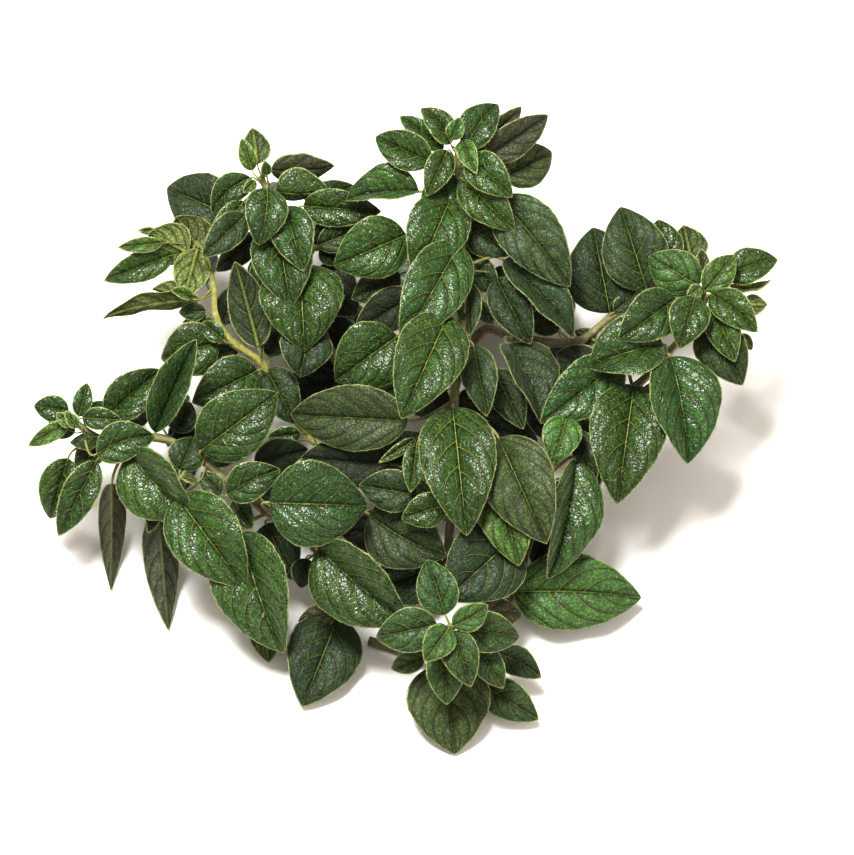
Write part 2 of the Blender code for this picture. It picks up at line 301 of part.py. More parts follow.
BACK_RIGHT_STEM = [
    (3.2, -0.6, 6.0, 2.6), (13.2, 23.1, 15.0, 2.4), (22.0, 22.4, 19.0, 2.3), (37.0, 21.1, 23.0, 2.2),
    (46.2, 27.4, 27.0, 2.0), (55.8, 33.9, 30.0, 1.9), (61.2, 39.4, 32.0, 1.7), (65.2, 42.4, 33.5, 1.5),
]
BACK_RIGHT_LEAVES = [
    (4, (46.0, 28.6, 28.0), (41.8, 50.1, 34.0), 19.4, 0, 1.0, 0, 6, "dark"),
    (5, (55.2, 34.4, 31.5), (48.6, 55.2, 38.0), 17.0, 0, 1.5, 0, 8, "dark"),
    (6, (60.2, 40.2, 34.5), (58.2, 52.0, 38.0), 10.5, 0, 0.8, 0, 8, "green"),
    (6, (66.5, 41.4, 35.5), (64.5, 50.5, 39.0), 10.0, 175, 0.6, 0, 8, "underside"),
    (6, (69.2, 37.5, 35.0), (69.0, 44.6, 37.0), 4.0, 0, 0.5, 0, 8, "brownish"),
    (4, (47.2, 28.9, 29.0), (51.8, 32.8, 30.0), 4.5, 0, 0.3, 0, 8, "dark"),
    (4, (42.6, 21.4, 24.0), (37.2, 24.0, 23.5), 4.5, 170, 0.4, 0, 8, "underside"),
    (3, (33.0, 24.0, 24.0), (25.2, 29.0, 23.0), 7.0, 0, 0.6, 0, 8, "dark"),
    (2, (20.4, 20.4, 29.0), (28.5, 1.6, 29.0), 18.0, -36, 1.5, 0, 34, "dark"),
    (1, (10.5, 26.5, 13.0), (10.0, 38.0, 0.2), 7.5, 0, 1.0, 0, 8, "dark"),
    (4, (48.0, 29.5, 20.0), (49.0, 38.5, 0.2), 13.0, 0, 1.0, 0, 8, "dark"),
    (3, (36.0, 21.0, 21.0), (31.5, 9.0, 19.0), 9.0, 0, 0.8, 0, 8, "brownish"),
    (5, (57.5, 36.0, 24.0), (60.0, 47.0, 6.0), 12.0, 0, 1.0, 0, 8, "dark"),
    (3, (33.0, 24.5, 17.0), (31.0, 37.0, 4.0), 11.0, 0, 1.0, 0, 8, "green"),
    (2, (20.0, 25.5, 15.0), (20.5, 38.0, 3.0), 11.0, 0, 1.0, 0, 8, "green"),
]

FRONT_STEM = [
    (-14.5, -53.6, 1.25, 2.5), (-6.0, -56.0, 1.25, 2.5), (0.8, -56.9, 6.5, 2.4), (4.8, -53.1, 14.5, 2.2),
    (5.8, -50.3, 21.5, 2.0), (5.9, -49.3, 26.0, 1.6),
]
FRONT_LEAVES = [
    (5, (4.6, -46.6, 27.0), (0.2, -33.0, 31.0), 10.5, 0, 1.0, 0, 8, "green"),
    (4, (2.5, -49.1, 26.0), (-12.6, -52.4, 22.0), 11.5, 0, 1.2, 0, 8, "green"),
    (5, (5.5, -50.0, 29.0), (-0.5, -58.2, 27.5), 8.2, 0, 1.0, 0, 10, "bright"),
    (5, (6.5, -50.8, 27.5), (11.0, -64.5, 22.0), 9.5, 0, 1.3, 0, 10, "green"),
    (5, (6.6, -49.4, 29.0), (15.2, -44.2, 30.5), 7.0, 0, 0.8, 0.5, 12, "bright"),
    (4, (9.0, -50.0, 24.5), (23.2, -52.4, 20.0), 10.5, 0, 1.2, 0, 8, "green"),
    (3, (4.5, -54.4, 22.0), (5.0, -69.1, 14.0), 9.8, 0, 1.2, 0, 8, "green"),
    (2, (4.6, -59.0, 9.0), (7.0, -81.4, 1.5), 21.0, 0, 1.0, 0, 5, "olive"),
    (2, (-0.5, -57.0, 14.0), (-8.8, -60.4, 10.0), 6.0, 0, 0.8, 0, 8, "green"),
    (3, (13.0, -55.0, 18.0), (19.0, -65.1, 12.0), 7.5, 0, 0.8, 0, 8, "green"),
    (2, (17.5, -56.5, 9.0), (28.5, -62.6, 7.5), 7.8, 0, 0.8, -0.8, 8, "dark"),
    (2, (14.5, -64.5, 6.0), (27.8, -73.0, 3.0), 10.0, 0, 0.8, 0, 8, "dark"),
    (3, (12.0, -46.0, 18.0), (24.0, -47.0, 13.0), 8.0, 0, 0.5, 0, 8, "brownish"),
]

SPRIGS = {
    "sprig_top": (TOP_STEM, TOP_LEAVES),
    "sprig_upper_left": (UPPER_LEFT_STEM, UPPER_LEFT_LEAVES),
    "sprig_pale": (PALE_STEM, PALE_LEAVES),
    "sprig_left": (LEFT_STEM, LEFT_LEAVES),
    "sprig_right": (RIGHT_STEM, RIGHT_LEAVES),
    "sprig_back_right": (BACK_RIGHT_STEM, BACK_RIGHT_LEAVES),
    "sprig_front": (FRONT_STEM, FRONT_LEAVES),
}


def seen(across, up, height):
    """The point in mm that is seen there, at that height above the surface."""
    away = (up - height * math.cos(VIEW_ELEVATION)) / math.sin(VIEW_ELEVATION)
    return Vector((across - CENTRE_X, away - CENTRE_Y, height))


def stem_point(stem, node, back):
    """The point on a stem a little way down from one of its nodes, or up from the cut end."""
    points = [seen(*entry[:3]) for entry in stem]
    path = points[node::-1] if node else points
    for start, end in zip(path, path[1:]):
        length = (end - start).length
        if back <= length:
            return start.lerp(end, back / length)
        back -= length
    return path[-1]


def place_leaves():
    """All leaves of all sprigs, each from its own place just below its node."""
    leaves = []
    for sprig, (stem, entries) in SPRIGS.items():
        taken = {}
        for entry in entries:
            rank = taken.get(entry[0], 0)
            taken[entry[0]] = rank + 1
            leaves.append(Leaf(sprig, entry, stem, rank))
    return leaves


class Leaf:
    """One leaf blade, with its rib as a curve and its two halves as folded planes."""

    def __init__(self, sprig, entry, stem, rank):
        node, base, tip, self.width, roll, arch, sweep, fold, self.look = entry
        self.sprig = sprig
        self.root = stem_point(stem, node, ROOT_START + rank * ROOT_SPACING)
        self.base = seen(*base)
        self.tip = seen(*tip)
        self.lift = 0.0
        self.fold = math.radians(fold)
        axis = (self.tip - self.base).normalized()
        facing = (TOWARDS_EYE - axis * TOWARDS_EYE.dot(axis)).normalized()
        side = axis.cross(facing)
        turn = math.radians(roll)
        self.normal = facing * math.cos(turn) + side * math.sin(turn)
        self.side = side * math.cos(turn) - facing * math.sin(turn)
        self.bow = 2 * (self.normal * arch + self.side * sweep)
        self.length = (self.tip - self.base).length

    def rib(self, along):
        """The rib's point at a share of the blade's length."""
        middle = (self.base + self.tip) / 2 + self.bow
        point = self.base * (1 - along) ** 2 + middle * (2 * along * (1 - along)) + self.tip * along ** 2
        return point + TOWARDS_EYE * self.lift

    def half_width(self, along):
        """Half the blade's width at a share of its length: a round base and a blunt tip."""
        if along <= 0 or along >= 1:
            return 0.0
        base_power = TIP_ROUNDNESS * WIDEST_AT / (1 - WIDEST_AT)
        rise = (along / WIDEST_AT) ** base_power
        fall = ((1 - along) / (1 - WIDEST_AT)) ** TIP_ROUNDNESS
        return self.width / 2 * rise * fall

    def across(self, hand):
        """The direction from the rib to the edge on one hand, +1 or -1, in the folded half."""
        return self.side * (hand * math.cos(self.fold)) + self.normal * math.sin(self.fold)

    def upward(self, hand):
        """The upper side's direction on one half, or of the rib for hand 0."""
        if hand == 0:
            return self.normal / max(math.cos(self.fold), LEAST_RIB_COSINE)
        return self.normal * math.cos(self.fold) - self.side * (hand * math.sin(self.fold))

    def point(self, along, hand):
        return self.rib(along) + self.across(hand) * self.half_width(along)


def depth(point):
    return point.dot(TOWARDS_EYE)


def cell_of(point):
    up = point.y * math.sin(VIEW_ELEVATION) + point.z * math.cos(VIEW_ELEVATION)
    return (math.floor(point.x / CELL), math.floor(up / CELL))


def leaf_cells(leaf):
    """The blade as seen: for each cell of the view, its nearest and farthest depth, outer part last."""
    cells = {}
    steps = max(FEWEST_SAMPLE_ROWS, math.ceil(leaf.length / CELL * SAMPLES_PER_CELL))
    for row in range(1, steps):
        along = row / steps
        half = leaf.half_width(along)
        spans = max(FEWEST_SAMPLES_ACROSS, math.ceil(half / CELL * SAMPLES_PER_CELL))
        for span in range(-spans, spans + 1):
            hand = 1 if span >= 0 else -1
            point = leaf.rib(along) + leaf.across(hand) * (half * abs(span) / spans)
            value = depth(point)
            key = cell_of(point)
            low, high, outer = cells.get(key, (value, value, along))
            cells[key] = (min(low, value), max(high, value), max(outer, along))
    return cells


def stem_cells(stem):
    cells = {}
    for start, end in zip(stem, stem[1:]):
        first, last = seen(*start[:3]), seen(*end[:3])
        steps = math.ceil((last - first).length / CELL * 2)
        for step in range(steps + 1):
            point = first.lerp(last, step / steps)
            reach = start[3] / 2
            for shift in (-reach, 0, reach):
                moved = point + Vector((shift, 0, 0))
                value = depth(moved)
                key = cell_of(moved)
                low, high = cells.get(key, (value, value))[:2]
                cells[key] = (min(low, value - reach), max(high, value + reach), 1.0)
    return cells


def pair_rule(first, second, same_sprig):
    """How far apart two overlapping sheets are: the order, and the room between them."""
    shared = first.keys() & second.keys()
    if same_sprig:
        shared = {key for key in shared if min(first[key][2], second[key][2]) > TOUCHING_SHARE}
    if not shared:
        return None
    ahead = sum(first[key][0] + first[key][1] - second[key][0] - second[key][1] for key in shared)
    if ahead >= 0:
        return 1, min(first[key][0] - second[key][1] for key in shared)
    return -1, min(second[key][0] - first[key][1] for key in shared)


def settle(leaves, stems):
    """Lifts and lowers whole blades along the line of sight until no two sheets touch."""
    views = [leaf_cells(leaf) for leaf in leaves]
    stem_views = {name: stem_cells(stem) for name, stem in stems.items()}
    rules = []
    for one in range(len(leaves)):
        for other in range(one + 1, len(leaves)):
            rule = pair_rule(views[one], views[other], leaves[one].sprig == leaves[other].sprig)
            if rule:
                clearance = OWN_CLEARANCE if leaves[one].sprig == leaves[other].sprig else CLEARANCE
                rules.append((one, other, rule[0], clearance - rule[1]))
    stem_rules = []
    for index, leaf in enumerate(leaves):
        for name, view in stem_views.items():
            if name != leaf.sprig:
                rule = pair_rule(views[index], view, False)
                if rule:
                    stem_rules.append((index, rule[0], CLEARANCE - rule[1]))
    least = [-min(leaf.rib(along).z for along in RIB_ABOVE_SURFACE) / TOWARDS_EYE.z for leaf in leaves]
    lifts = [0.0] * len(leaves)
    for _ in range(SETTLING_ROUNDS):
        for one, other, order, needed in rules:
            short = needed - order * (lifts[one] - lifts[other])
            if short > 0:
                lifts[one] += order * short / 2
                lifts[other] -= order * short / 2
        for index, order, needed in stem_rules:
            short = needed - order * lifts[index]
            if short > 0:
                lifts[index] += order * short
        for index, lowest in enumerate(least):
            lifts[index] = max(lifts[index], lowest)
    for leaf, lift in zip(leaves, lifts):
        leaf.lift = lift


def blade_rows(leaf):
    """Where the blade has its cross rows: fewer on a small leaf."""
    return next(rows for least_length, rows in BLADE_ROWS if leaf.length > least_length)


def on_or_above(point, lowest):
    return Vector((point.x, point.y, max(point.z, lowest)))


def stalk_rows(leaf):
    """The leaf stalk's cross rows, from the middle of the stem to the foot of the blade."""
    foot = leaf.rib(0)
    run = foot - leaf.root
    axis = (leaf.tip - leaf.base).normalized()
    rows = [(leaf.root, run), (foot, run.normalized() + axis)]
    if run.length > LONG_STALK:
        rows.insert(1, (leaf.root.lerp(foot, 0.5) - TOWARDS_EYE * (STALK_SAG * run.length), run))
    placed = []
    for centre, heading in rows:
        heading = heading.normalized()
        side = leaf.side - heading * leaf.side.dot(heading)
        if side.length < LEAST_STALK_SIDE:
            side = heading.cross(leaf.normal)
        side.normalize()
        lift = side.cross(heading) * (STALK_THICKNESS / 2)
        across = [centre - side * (STALK_WIDTH / 2), centre + side * (STALK_WIDTH / 2)]
        placed.append(([point + lift for point in across], [point - lift for point in across]))
    return placed


def blade_section(leaf, along):
    """The upper and lower points of the blade at one cross row: edge, rib, edge."""
    upper, lower = [], []
    for hand in (-1, 0, 1):
        centre = leaf.rib(along) if hand == 0 else leaf.point(along, hand)
        lift = leaf.upward(hand) * (BLADE_THICKNESS / 2)
        upper.append(centre + lift)
        lower.append(centre - lift)
    return upper, lower


def pressed_flat(high, low):
    """The pair of points on both sides of a blade, moved up where they would be under the surface."""
    if min(high.z, low.z) >= 0:
        return high, low
    if high.z >= low.z:
        return on_or_above(high, BLADE_THICKNESS), on_or_above(low, 0)
    return on_or_above(high, 0), on_or_above(low, BLADE_THICKNESS)


def bridge(mesh, row, following):
    """Triangles between two rows of 1, 2 or 3 points, split the same way on both sides."""
    for level in (0, 1):
        here, there = row[level], following[level]
        if len(there) == 1:
            for near, far in zip(here, here[1:]):
                mesh.faces.new((near, far, there[0]))
            continue
        mesh.faces.new((here[0], here[1], there[1]))
        mesh.faces.new((here[0], there[1], there[0]))
        if len(there) == 3:
            mesh.faces.new((here[-1], there[1], there[2]))
        if len(here) == 3:
            mesh.faces.new((here[2], here[1], there[1]))
    for edge in (0, -1):
        mesh.faces.new((row[0][edge], following[0][edge], following[1][edge]))
        mesh.faces.new((row[0][edge], following[1][edge], row[1][edge]))


def build_leaf(leaf):
    """A closed solid: the stalk from the middle of the stem, and the blade with its fold."""
    mesh = bmesh.new()
    sections = stalk_rows(leaf) + [blade_section(leaf, along) for along in blade_rows(leaf)]
    lift = leaf.normal * (BLADE_THICKNESS / 2)
    sections.append(([leaf.rib(1) + lift], [leaf.rib(1) - lift]))
    rows = []
    for upper, lower in sections:
        pairs = [pressed_flat(high, low) for high, low in zip(upper, lower)]
        rows.append(([mesh.verts.new(high * MM) for high, _ in pairs],
                     [mesh.verts.new(low * MM) for _, low in pairs]))
    for row, following in zip(rows, rows[1:]):
        bridge(mesh, row, following)
    foot_top, foot_bottom = rows[0]
    mesh.faces.new((foot_top[0], foot_top[1], foot_bottom[1], foot_bottom[0]))
    bmesh.ops.recalc_face_normals(mesh, faces=mesh.faces)
    return mesh


def build_stem(stem):
    """A square stem through its nodes, with flat cut ends."""
    mesh = bmesh.new()
    points = [seen(*node[:3]) for node in stem]
    rings = []
    for index, node in enumerate(stem):
        before = points[max(index - 1, 0)]
        after = points[min(index + 1, len(points) - 1)]
        lies_flat = index > 0 and stem[index - 1][2] == node[2]
        along = ((points[index] if lies_flat else after) - before).normalized()
        level = along.cross(Vector((0, 0, 1))).normalized()
        upright = level.cross(along)
        radius = node[3] / math.sqrt(2)
        ring = []
        for side in range(STEM_SIDES):
            angle = FLAT_SIDE_DOWN + 2 * math.pi * side / STEM_SIDES
            offset = level * (radius * math.cos(angle)) + upright * (radius * math.sin(angle))
            ring.append(mesh.verts.new((points[index] + offset) * MM))
        rings.append(ring)
    for ring, following in zip(rings, rings[1:]):
        for side in range(STEM_SIDES):
            ahead = (side + 1) % STEM_SIDES
            mesh.faces.new((ring[side], ring[ahead], following[ahead], following[side]))
    mesh.faces.new(rings[0])
    mesh.faces.new(rings[-1])
    bmesh.ops.recalc_face_normals(mesh, faces=mesh.faces)
    return mesh


def make_material(sprig, leaves):
    """The sprig's material, in the mean colour of its leaves."""
    material = bpy.data.materials.new(sprig + "_leaf")
    material.use_nodes = True
    total = sum((Vector(LOOKS[leaf.look]) for leaf in leaves), Vector((0, 0, 0)))
    colour = (*(total / len(leaves)), 1)
    shader = material.node_tree.nodes["Principled BSDF"]
    shader.inputs["Base Color"].default_value = colour
    shader.inputs["Roughness"].default_value = ROUGHNESS
    material.diffuse_color = colour
    return material


def add_object(name, mesh, collection):
    data = bpy.data.meshes.new(name)
    mesh.to_mesh(data)
    mesh.free()
    made = bpy.data.objects.new(name, data)
    collection.objects.link(made)
    return made


def fuse(name, stem_mesh, leaf_meshes, material):
    """Joins a stem and its leaves in one closed solid."""
    scene_collection = bpy.context.scene.collection
    sprig = add_object(name, stem_mesh, scene_collection)
    gathered = bpy.data.collections.new(name + "_leaves")
    scene_collection.children.link(gathered)
    for index, mesh in enumerate(leaf_meshes):
        add_object(f"{name}_leaf_{index}", mesh, gathered)
    union = sprig.modifiers.new("leaves", "BOOLEAN")
    union.operation = "UNION"
    union.operand_type = "COLLECTION"
    union.collection = gathered
    union.solver = "EXACT"
    union.use_self = True
    bpy.context.view_layer.update()
    evaluated = sprig.evaluated_get(bpy.context.evaluated_depsgraph_get())
    fused = bpy.data.meshes.new_from_object(evaluated)
    sprig.modifiers.clear()
    sprig.data = fused
    for leaf in list(gathered.objects):
        bpy.data.objects.remove(leaf, do_unlink=True)
    bpy.data.collections.remove(gathered)
    fused.materials.clear()
    fused.materials.append(material)
    return sprig


def main():
    for leftover in list(bpy.data.objects):
        bpy.data.objects.remove(leftover, do_unlink=True)
    stems = {name: stem for name, (stem, _) in SPRIGS.items()}
    leaves = place_leaves()
    settle(leaves, stems)
    for name, stem in stems.items():
        own = [leaf for leaf in leaves if leaf.sprig == name]
        fuse(name, build_stem(stem), [build_leaf(leaf) for leaf in own], make_material(name, own))


main()
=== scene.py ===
import math

import bpy
import numpy as np
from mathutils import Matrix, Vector


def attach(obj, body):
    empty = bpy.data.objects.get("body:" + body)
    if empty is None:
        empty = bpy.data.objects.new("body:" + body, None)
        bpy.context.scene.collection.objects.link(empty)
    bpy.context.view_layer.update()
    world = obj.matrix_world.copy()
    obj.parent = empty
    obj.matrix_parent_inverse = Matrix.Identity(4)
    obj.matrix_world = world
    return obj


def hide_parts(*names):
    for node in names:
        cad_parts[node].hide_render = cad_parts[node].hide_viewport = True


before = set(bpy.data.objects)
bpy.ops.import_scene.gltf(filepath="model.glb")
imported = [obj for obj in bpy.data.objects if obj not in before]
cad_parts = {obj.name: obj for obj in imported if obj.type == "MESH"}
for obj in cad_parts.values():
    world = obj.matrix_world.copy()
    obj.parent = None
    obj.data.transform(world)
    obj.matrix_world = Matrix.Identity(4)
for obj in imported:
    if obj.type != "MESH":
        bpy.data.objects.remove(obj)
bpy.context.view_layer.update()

MM = 0.001
VIEW_ELEVATION = math.radians(60)
TOWARDS_EYE = Vector((0, -math.cos(VIEW_ELEVATION), math.sin(VIEW_ELEVATION)))

# Where the middle of the bundle lies, so that the origin is under it, in mm
CENTRE_X = -5.74
CENTRE_Y = -16.3

# How the leaves grow and lie, in mm, as in the part's source
ROOT_START = 0.6
ROOT_SPACING = 0.9
WIDEST_AT = 0.39
TIP_ROUNDNESS = 0.86
CLEARANCE = 2.3
OWN_CLEARANCE = 1.3
SETTLING_ROUNDS = 400
CELL = 1.6
SAMPLES_PER_CELL = 1.6
FEWEST_SAMPLE_ROWS = 6
FEWEST_SAMPLES_ACROSS = 2
TOUCHING_SHARE = 0.22
RIB_ABOVE_SURFACE = (0.5, 0.75, 1.0)

# The fine blade, in mm
ROW_PITCH = 0.55
FEWEST_ROWS = 12
HALF_COLUMNS = (0.0, 0.035, 0.08, 0.15, 0.24, 0.34, 0.45, 0.56, 0.67, 0.78, 0.87, 0.94, 0.975, 1.0)
THICKNESS = 0.34
EDGE_THICKNESS = 0.2
LEAST_HALF_WIDTH = 0.03
ABOVE_FLOOR = 0.02
ROW_EASING = 0.35
FOOT_FADE = 12
RIB_SOFTNESS = 0.05
STALK_RADIUS = 0.45
STALK_NARROWING = 0.8
STALK_FLARE = 1.25
STALK_STEP = 1
STALK_BEND = 0.35
STALK_SIDES = 8
FULL_STALK_WIDTH = 16
LEAST_STALK_SHARE = 0.45
BULGE = 0.09
WAVE = 0.024
WAVE_COUNTS = (1.4, 2.6)
TIP_DROOP = 0.03
DROOP_START = 0.75
RIB_GROOVE = 0.16
RIB_RIDGE = 0.22
RIB_REACH = 0.34
LATERAL_SPACING = 5.2
FEWEST_LATERALS = 3
MOST_LATERALS = 5
LATERAL_OFFSET = 0.35
LATERAL_SLOPE = 0.75
LATERAL_SWEEP = 0.8
LATERAL_BEND = 2.5
PILLOW = 0.1
LATERAL_RIDGE = 0.12
VALLEY_SHARPNESS = 0.55
VALLEY_NARROWING = 1.8
EDGE_NOTCHES = 0.008
NOTCH_RATES = (2.1, 0.9)
FULL_TURN = 6.3

# The stem, in mm
STEM_STEP = 1.2
STEM_SIDES = 12
STEM_END_NARROWING = 0.8
CORNER_REACH = 0.8
NODE_SWELLING = 0.16
STEM_SLIMMING = 0.78
NODE_REACH = 1.6

# Hairs, in mm
EDGE_HAIRS_PER_MM = 2.2
STALK_HAIRS_PER_MM = 3
STEM_HAIRS_PER_MM = 9
HAIR_LENGTHS = (0.25, 0.7)
HAIR_RADIUS = 0.028
HAIR_SPREAD = 0.35
HAIR_CORNERS = (0, 2.09, 4.19)
HAIR_ROOT_DEPTH = 0.95

FIRST_SEED = 1000

# The colour of each kind of leaf on its upper side, with how far it varies from leaf to leaf
# The dark and deep kinds are painted shade: darker greens for leaves that lie in shade, the deep ones near
# black for the shade deep inside the bundle.
UPPER = {
    "green": (0.037, 0.09, 0.018),
    "dark": (0.024, 0.056, 0.014),
    "olive": (0.052, 0.084, 0.024),
    "bright": (0.075, 0.16, 0.03),
    "brownish": (0.06, 0.067, 0.026),
    "underside": (0.04, 0.09, 0.024),
    "pale": (0.11, 0.17, 0.045),
    "wrinkled": (0.046, 0.06, 0.028),
    "deep": (0.019, 0.032, 0.011),
}
LOWER = {
    "underside": (0.15, 0.19, 0.055),
    "pale": (0.19, 0.24, 0.07),
    "wrinkled": (0.088, 0.105, 0.056),
    "olive": (0.07, 0.09, 0.034),
    # The deep kind's underside is painted shade too, near black.
    "deep": (0.02, 0.026, 0.012),
}
USUAL_LOWER = (0.1, 0.13, 0.045)

# How clearly the rib and the side veins of each kind of leaf stand out, and how unevenly
VEIN_CLARITY = {
    "green": 0.8, "dark": 0.65, "olive": 0.5, "bright": 0.9, "brownish": 0.35,
    "underside": 0.6, "pale": 0.55, "wrinkled": 0.3, "deep": 0.2,
}
CLARITY_SPREAD = 0.2
CLARITY_LOSS_AT_TIP = 0.5

# How much duller than a glossy green leaf each kind is, and a whole sprig
DULLNESS = {
    "dark": 0.2, "olive": 0.2, "bright": 0.14, "brownish": 0.25,
    "pale": 0.1, "wrinkled": 0.12, "deep": 0.35,
}
SPRIG_DULLNESS = {"sprig_front": 0.16}
TONE_SPREAD = 0.18
VEIN_COLOUR = (0.33, 0.39, 0.07, 1)
EDGE_COLOUR = (0.4, 0.46, 0.17, 1)
RIM_COLOUR = (0.18, 0.11, 0.05, 1)
STALK_COLOUR = (0.21, 0.22, 0.06)
STEM_GREENING = 1.5
STEM_COLOURS = {
    "sprig_pale": (0.34, 0.32, 0.09),
    "sprig_back_right": (0.28, 0.22, 0.14),
    "sprig_right": (0.2, 0.15, 0.085),
}
USUAL_STEM = (0.15, 0.13, 0.065)
HAIR_COLOUR = (0.52, 0.54, 0.36, 1)

# The blade's material: bands in mm, bumps in m. A noise is its scale and detail. A shade or breaks
# is from, to, and what it gives at each.
BLADE_ROUGHNESS = 0.45
RIB_BAND = (0.06, 0.34)
LATERAL_BAND = 0.055
LATERAL_SHARE = 0.85
NET_SCALE = 0.7
NET_BAND = 0.09
NET_SHARE = 0.16
DOME_SCALE = 1.7
DOME_SMOOTHNESS = 0.25
# Painted shade and light on the domes: lighter on each dome's top, darker where domes meet.
DOME_PAINTED_SHADE = (0.1, 0.6, 1.3, 0.55)
MOTTLE_NOISE = (0.35, 4)
MOTTLE_SHADE = (0.3, 0.7, 0.75, 1.25)
SPECKLE_NOISE = (2.6, 3)
# Painted shade and light of the quilting: darker just past each side vein, lighter between the veins.
AFTER_VEIN_PAINTED_SHADE = (0.02, 0.4, 0.35, 1.2)
# Painted shade along the rib's groove: darker within about a millimetre of the rib.
BESIDE_RIB_PAINTED_SHADE = (0.3, 1.1, 0.5, 1)
EDGE_BAND = (0.06, 0.4)
EDGE_BREAKS = (0.3, 0.6, 0.35, 0.95)
RIM_SHARE = 0.5
GLOSS_BREAKS = (0.35, 0.65, 0.23, 0.38)
UNDERSIDE_DULLNESS = 0.3
NET_HEIGHT = -0.6
LATERAL_HEIGHT = -1.2
DOME_HEIGHT = -0.7
SPECKLE_HEIGHT = 0.25
BLADE_BUMP = 0.00016

# The stem's material, in the same terms
STEM_ROUGHNESS = 0.6
STREAK_NOISE = (0.8, 4)
STREAK_SHADE = (0.3, 0.7, 0.65, 1.3)
STEM_BUMP = 0.0001

# Light and camera, in metres and watts; the camera sees VIEW_WIDTH across at the bundle's mid height
WORLD_STRENGTH = 0.72
WORLD_COLOUR = (1.0, 0.91, 0.835, 1)
KEY_POWER = 27
KEY_POSITION = (-0.26, 0.15, 1.22)
KEY_SIZE = 0.42
FILL_POWER = 7
FILL_POSITION = (0.9, -0.8, 1.1)
FILL_SIZE = 1.2
FILL_COLOUR = (1, 0.96, 0.91)
VIEW_GAMMA = 0.78
FLOOR_COLOUR = (0.97, 0.965, 0.955, 1)
FLOOR_ROUGHNESS = 0.9
FLOOR_REACH = 4
VIEW_WIDTH = 0.2135
CAMERA_DISTANCE = 4.0
CAMERA_AIM = (0.1, -0.25, 30)
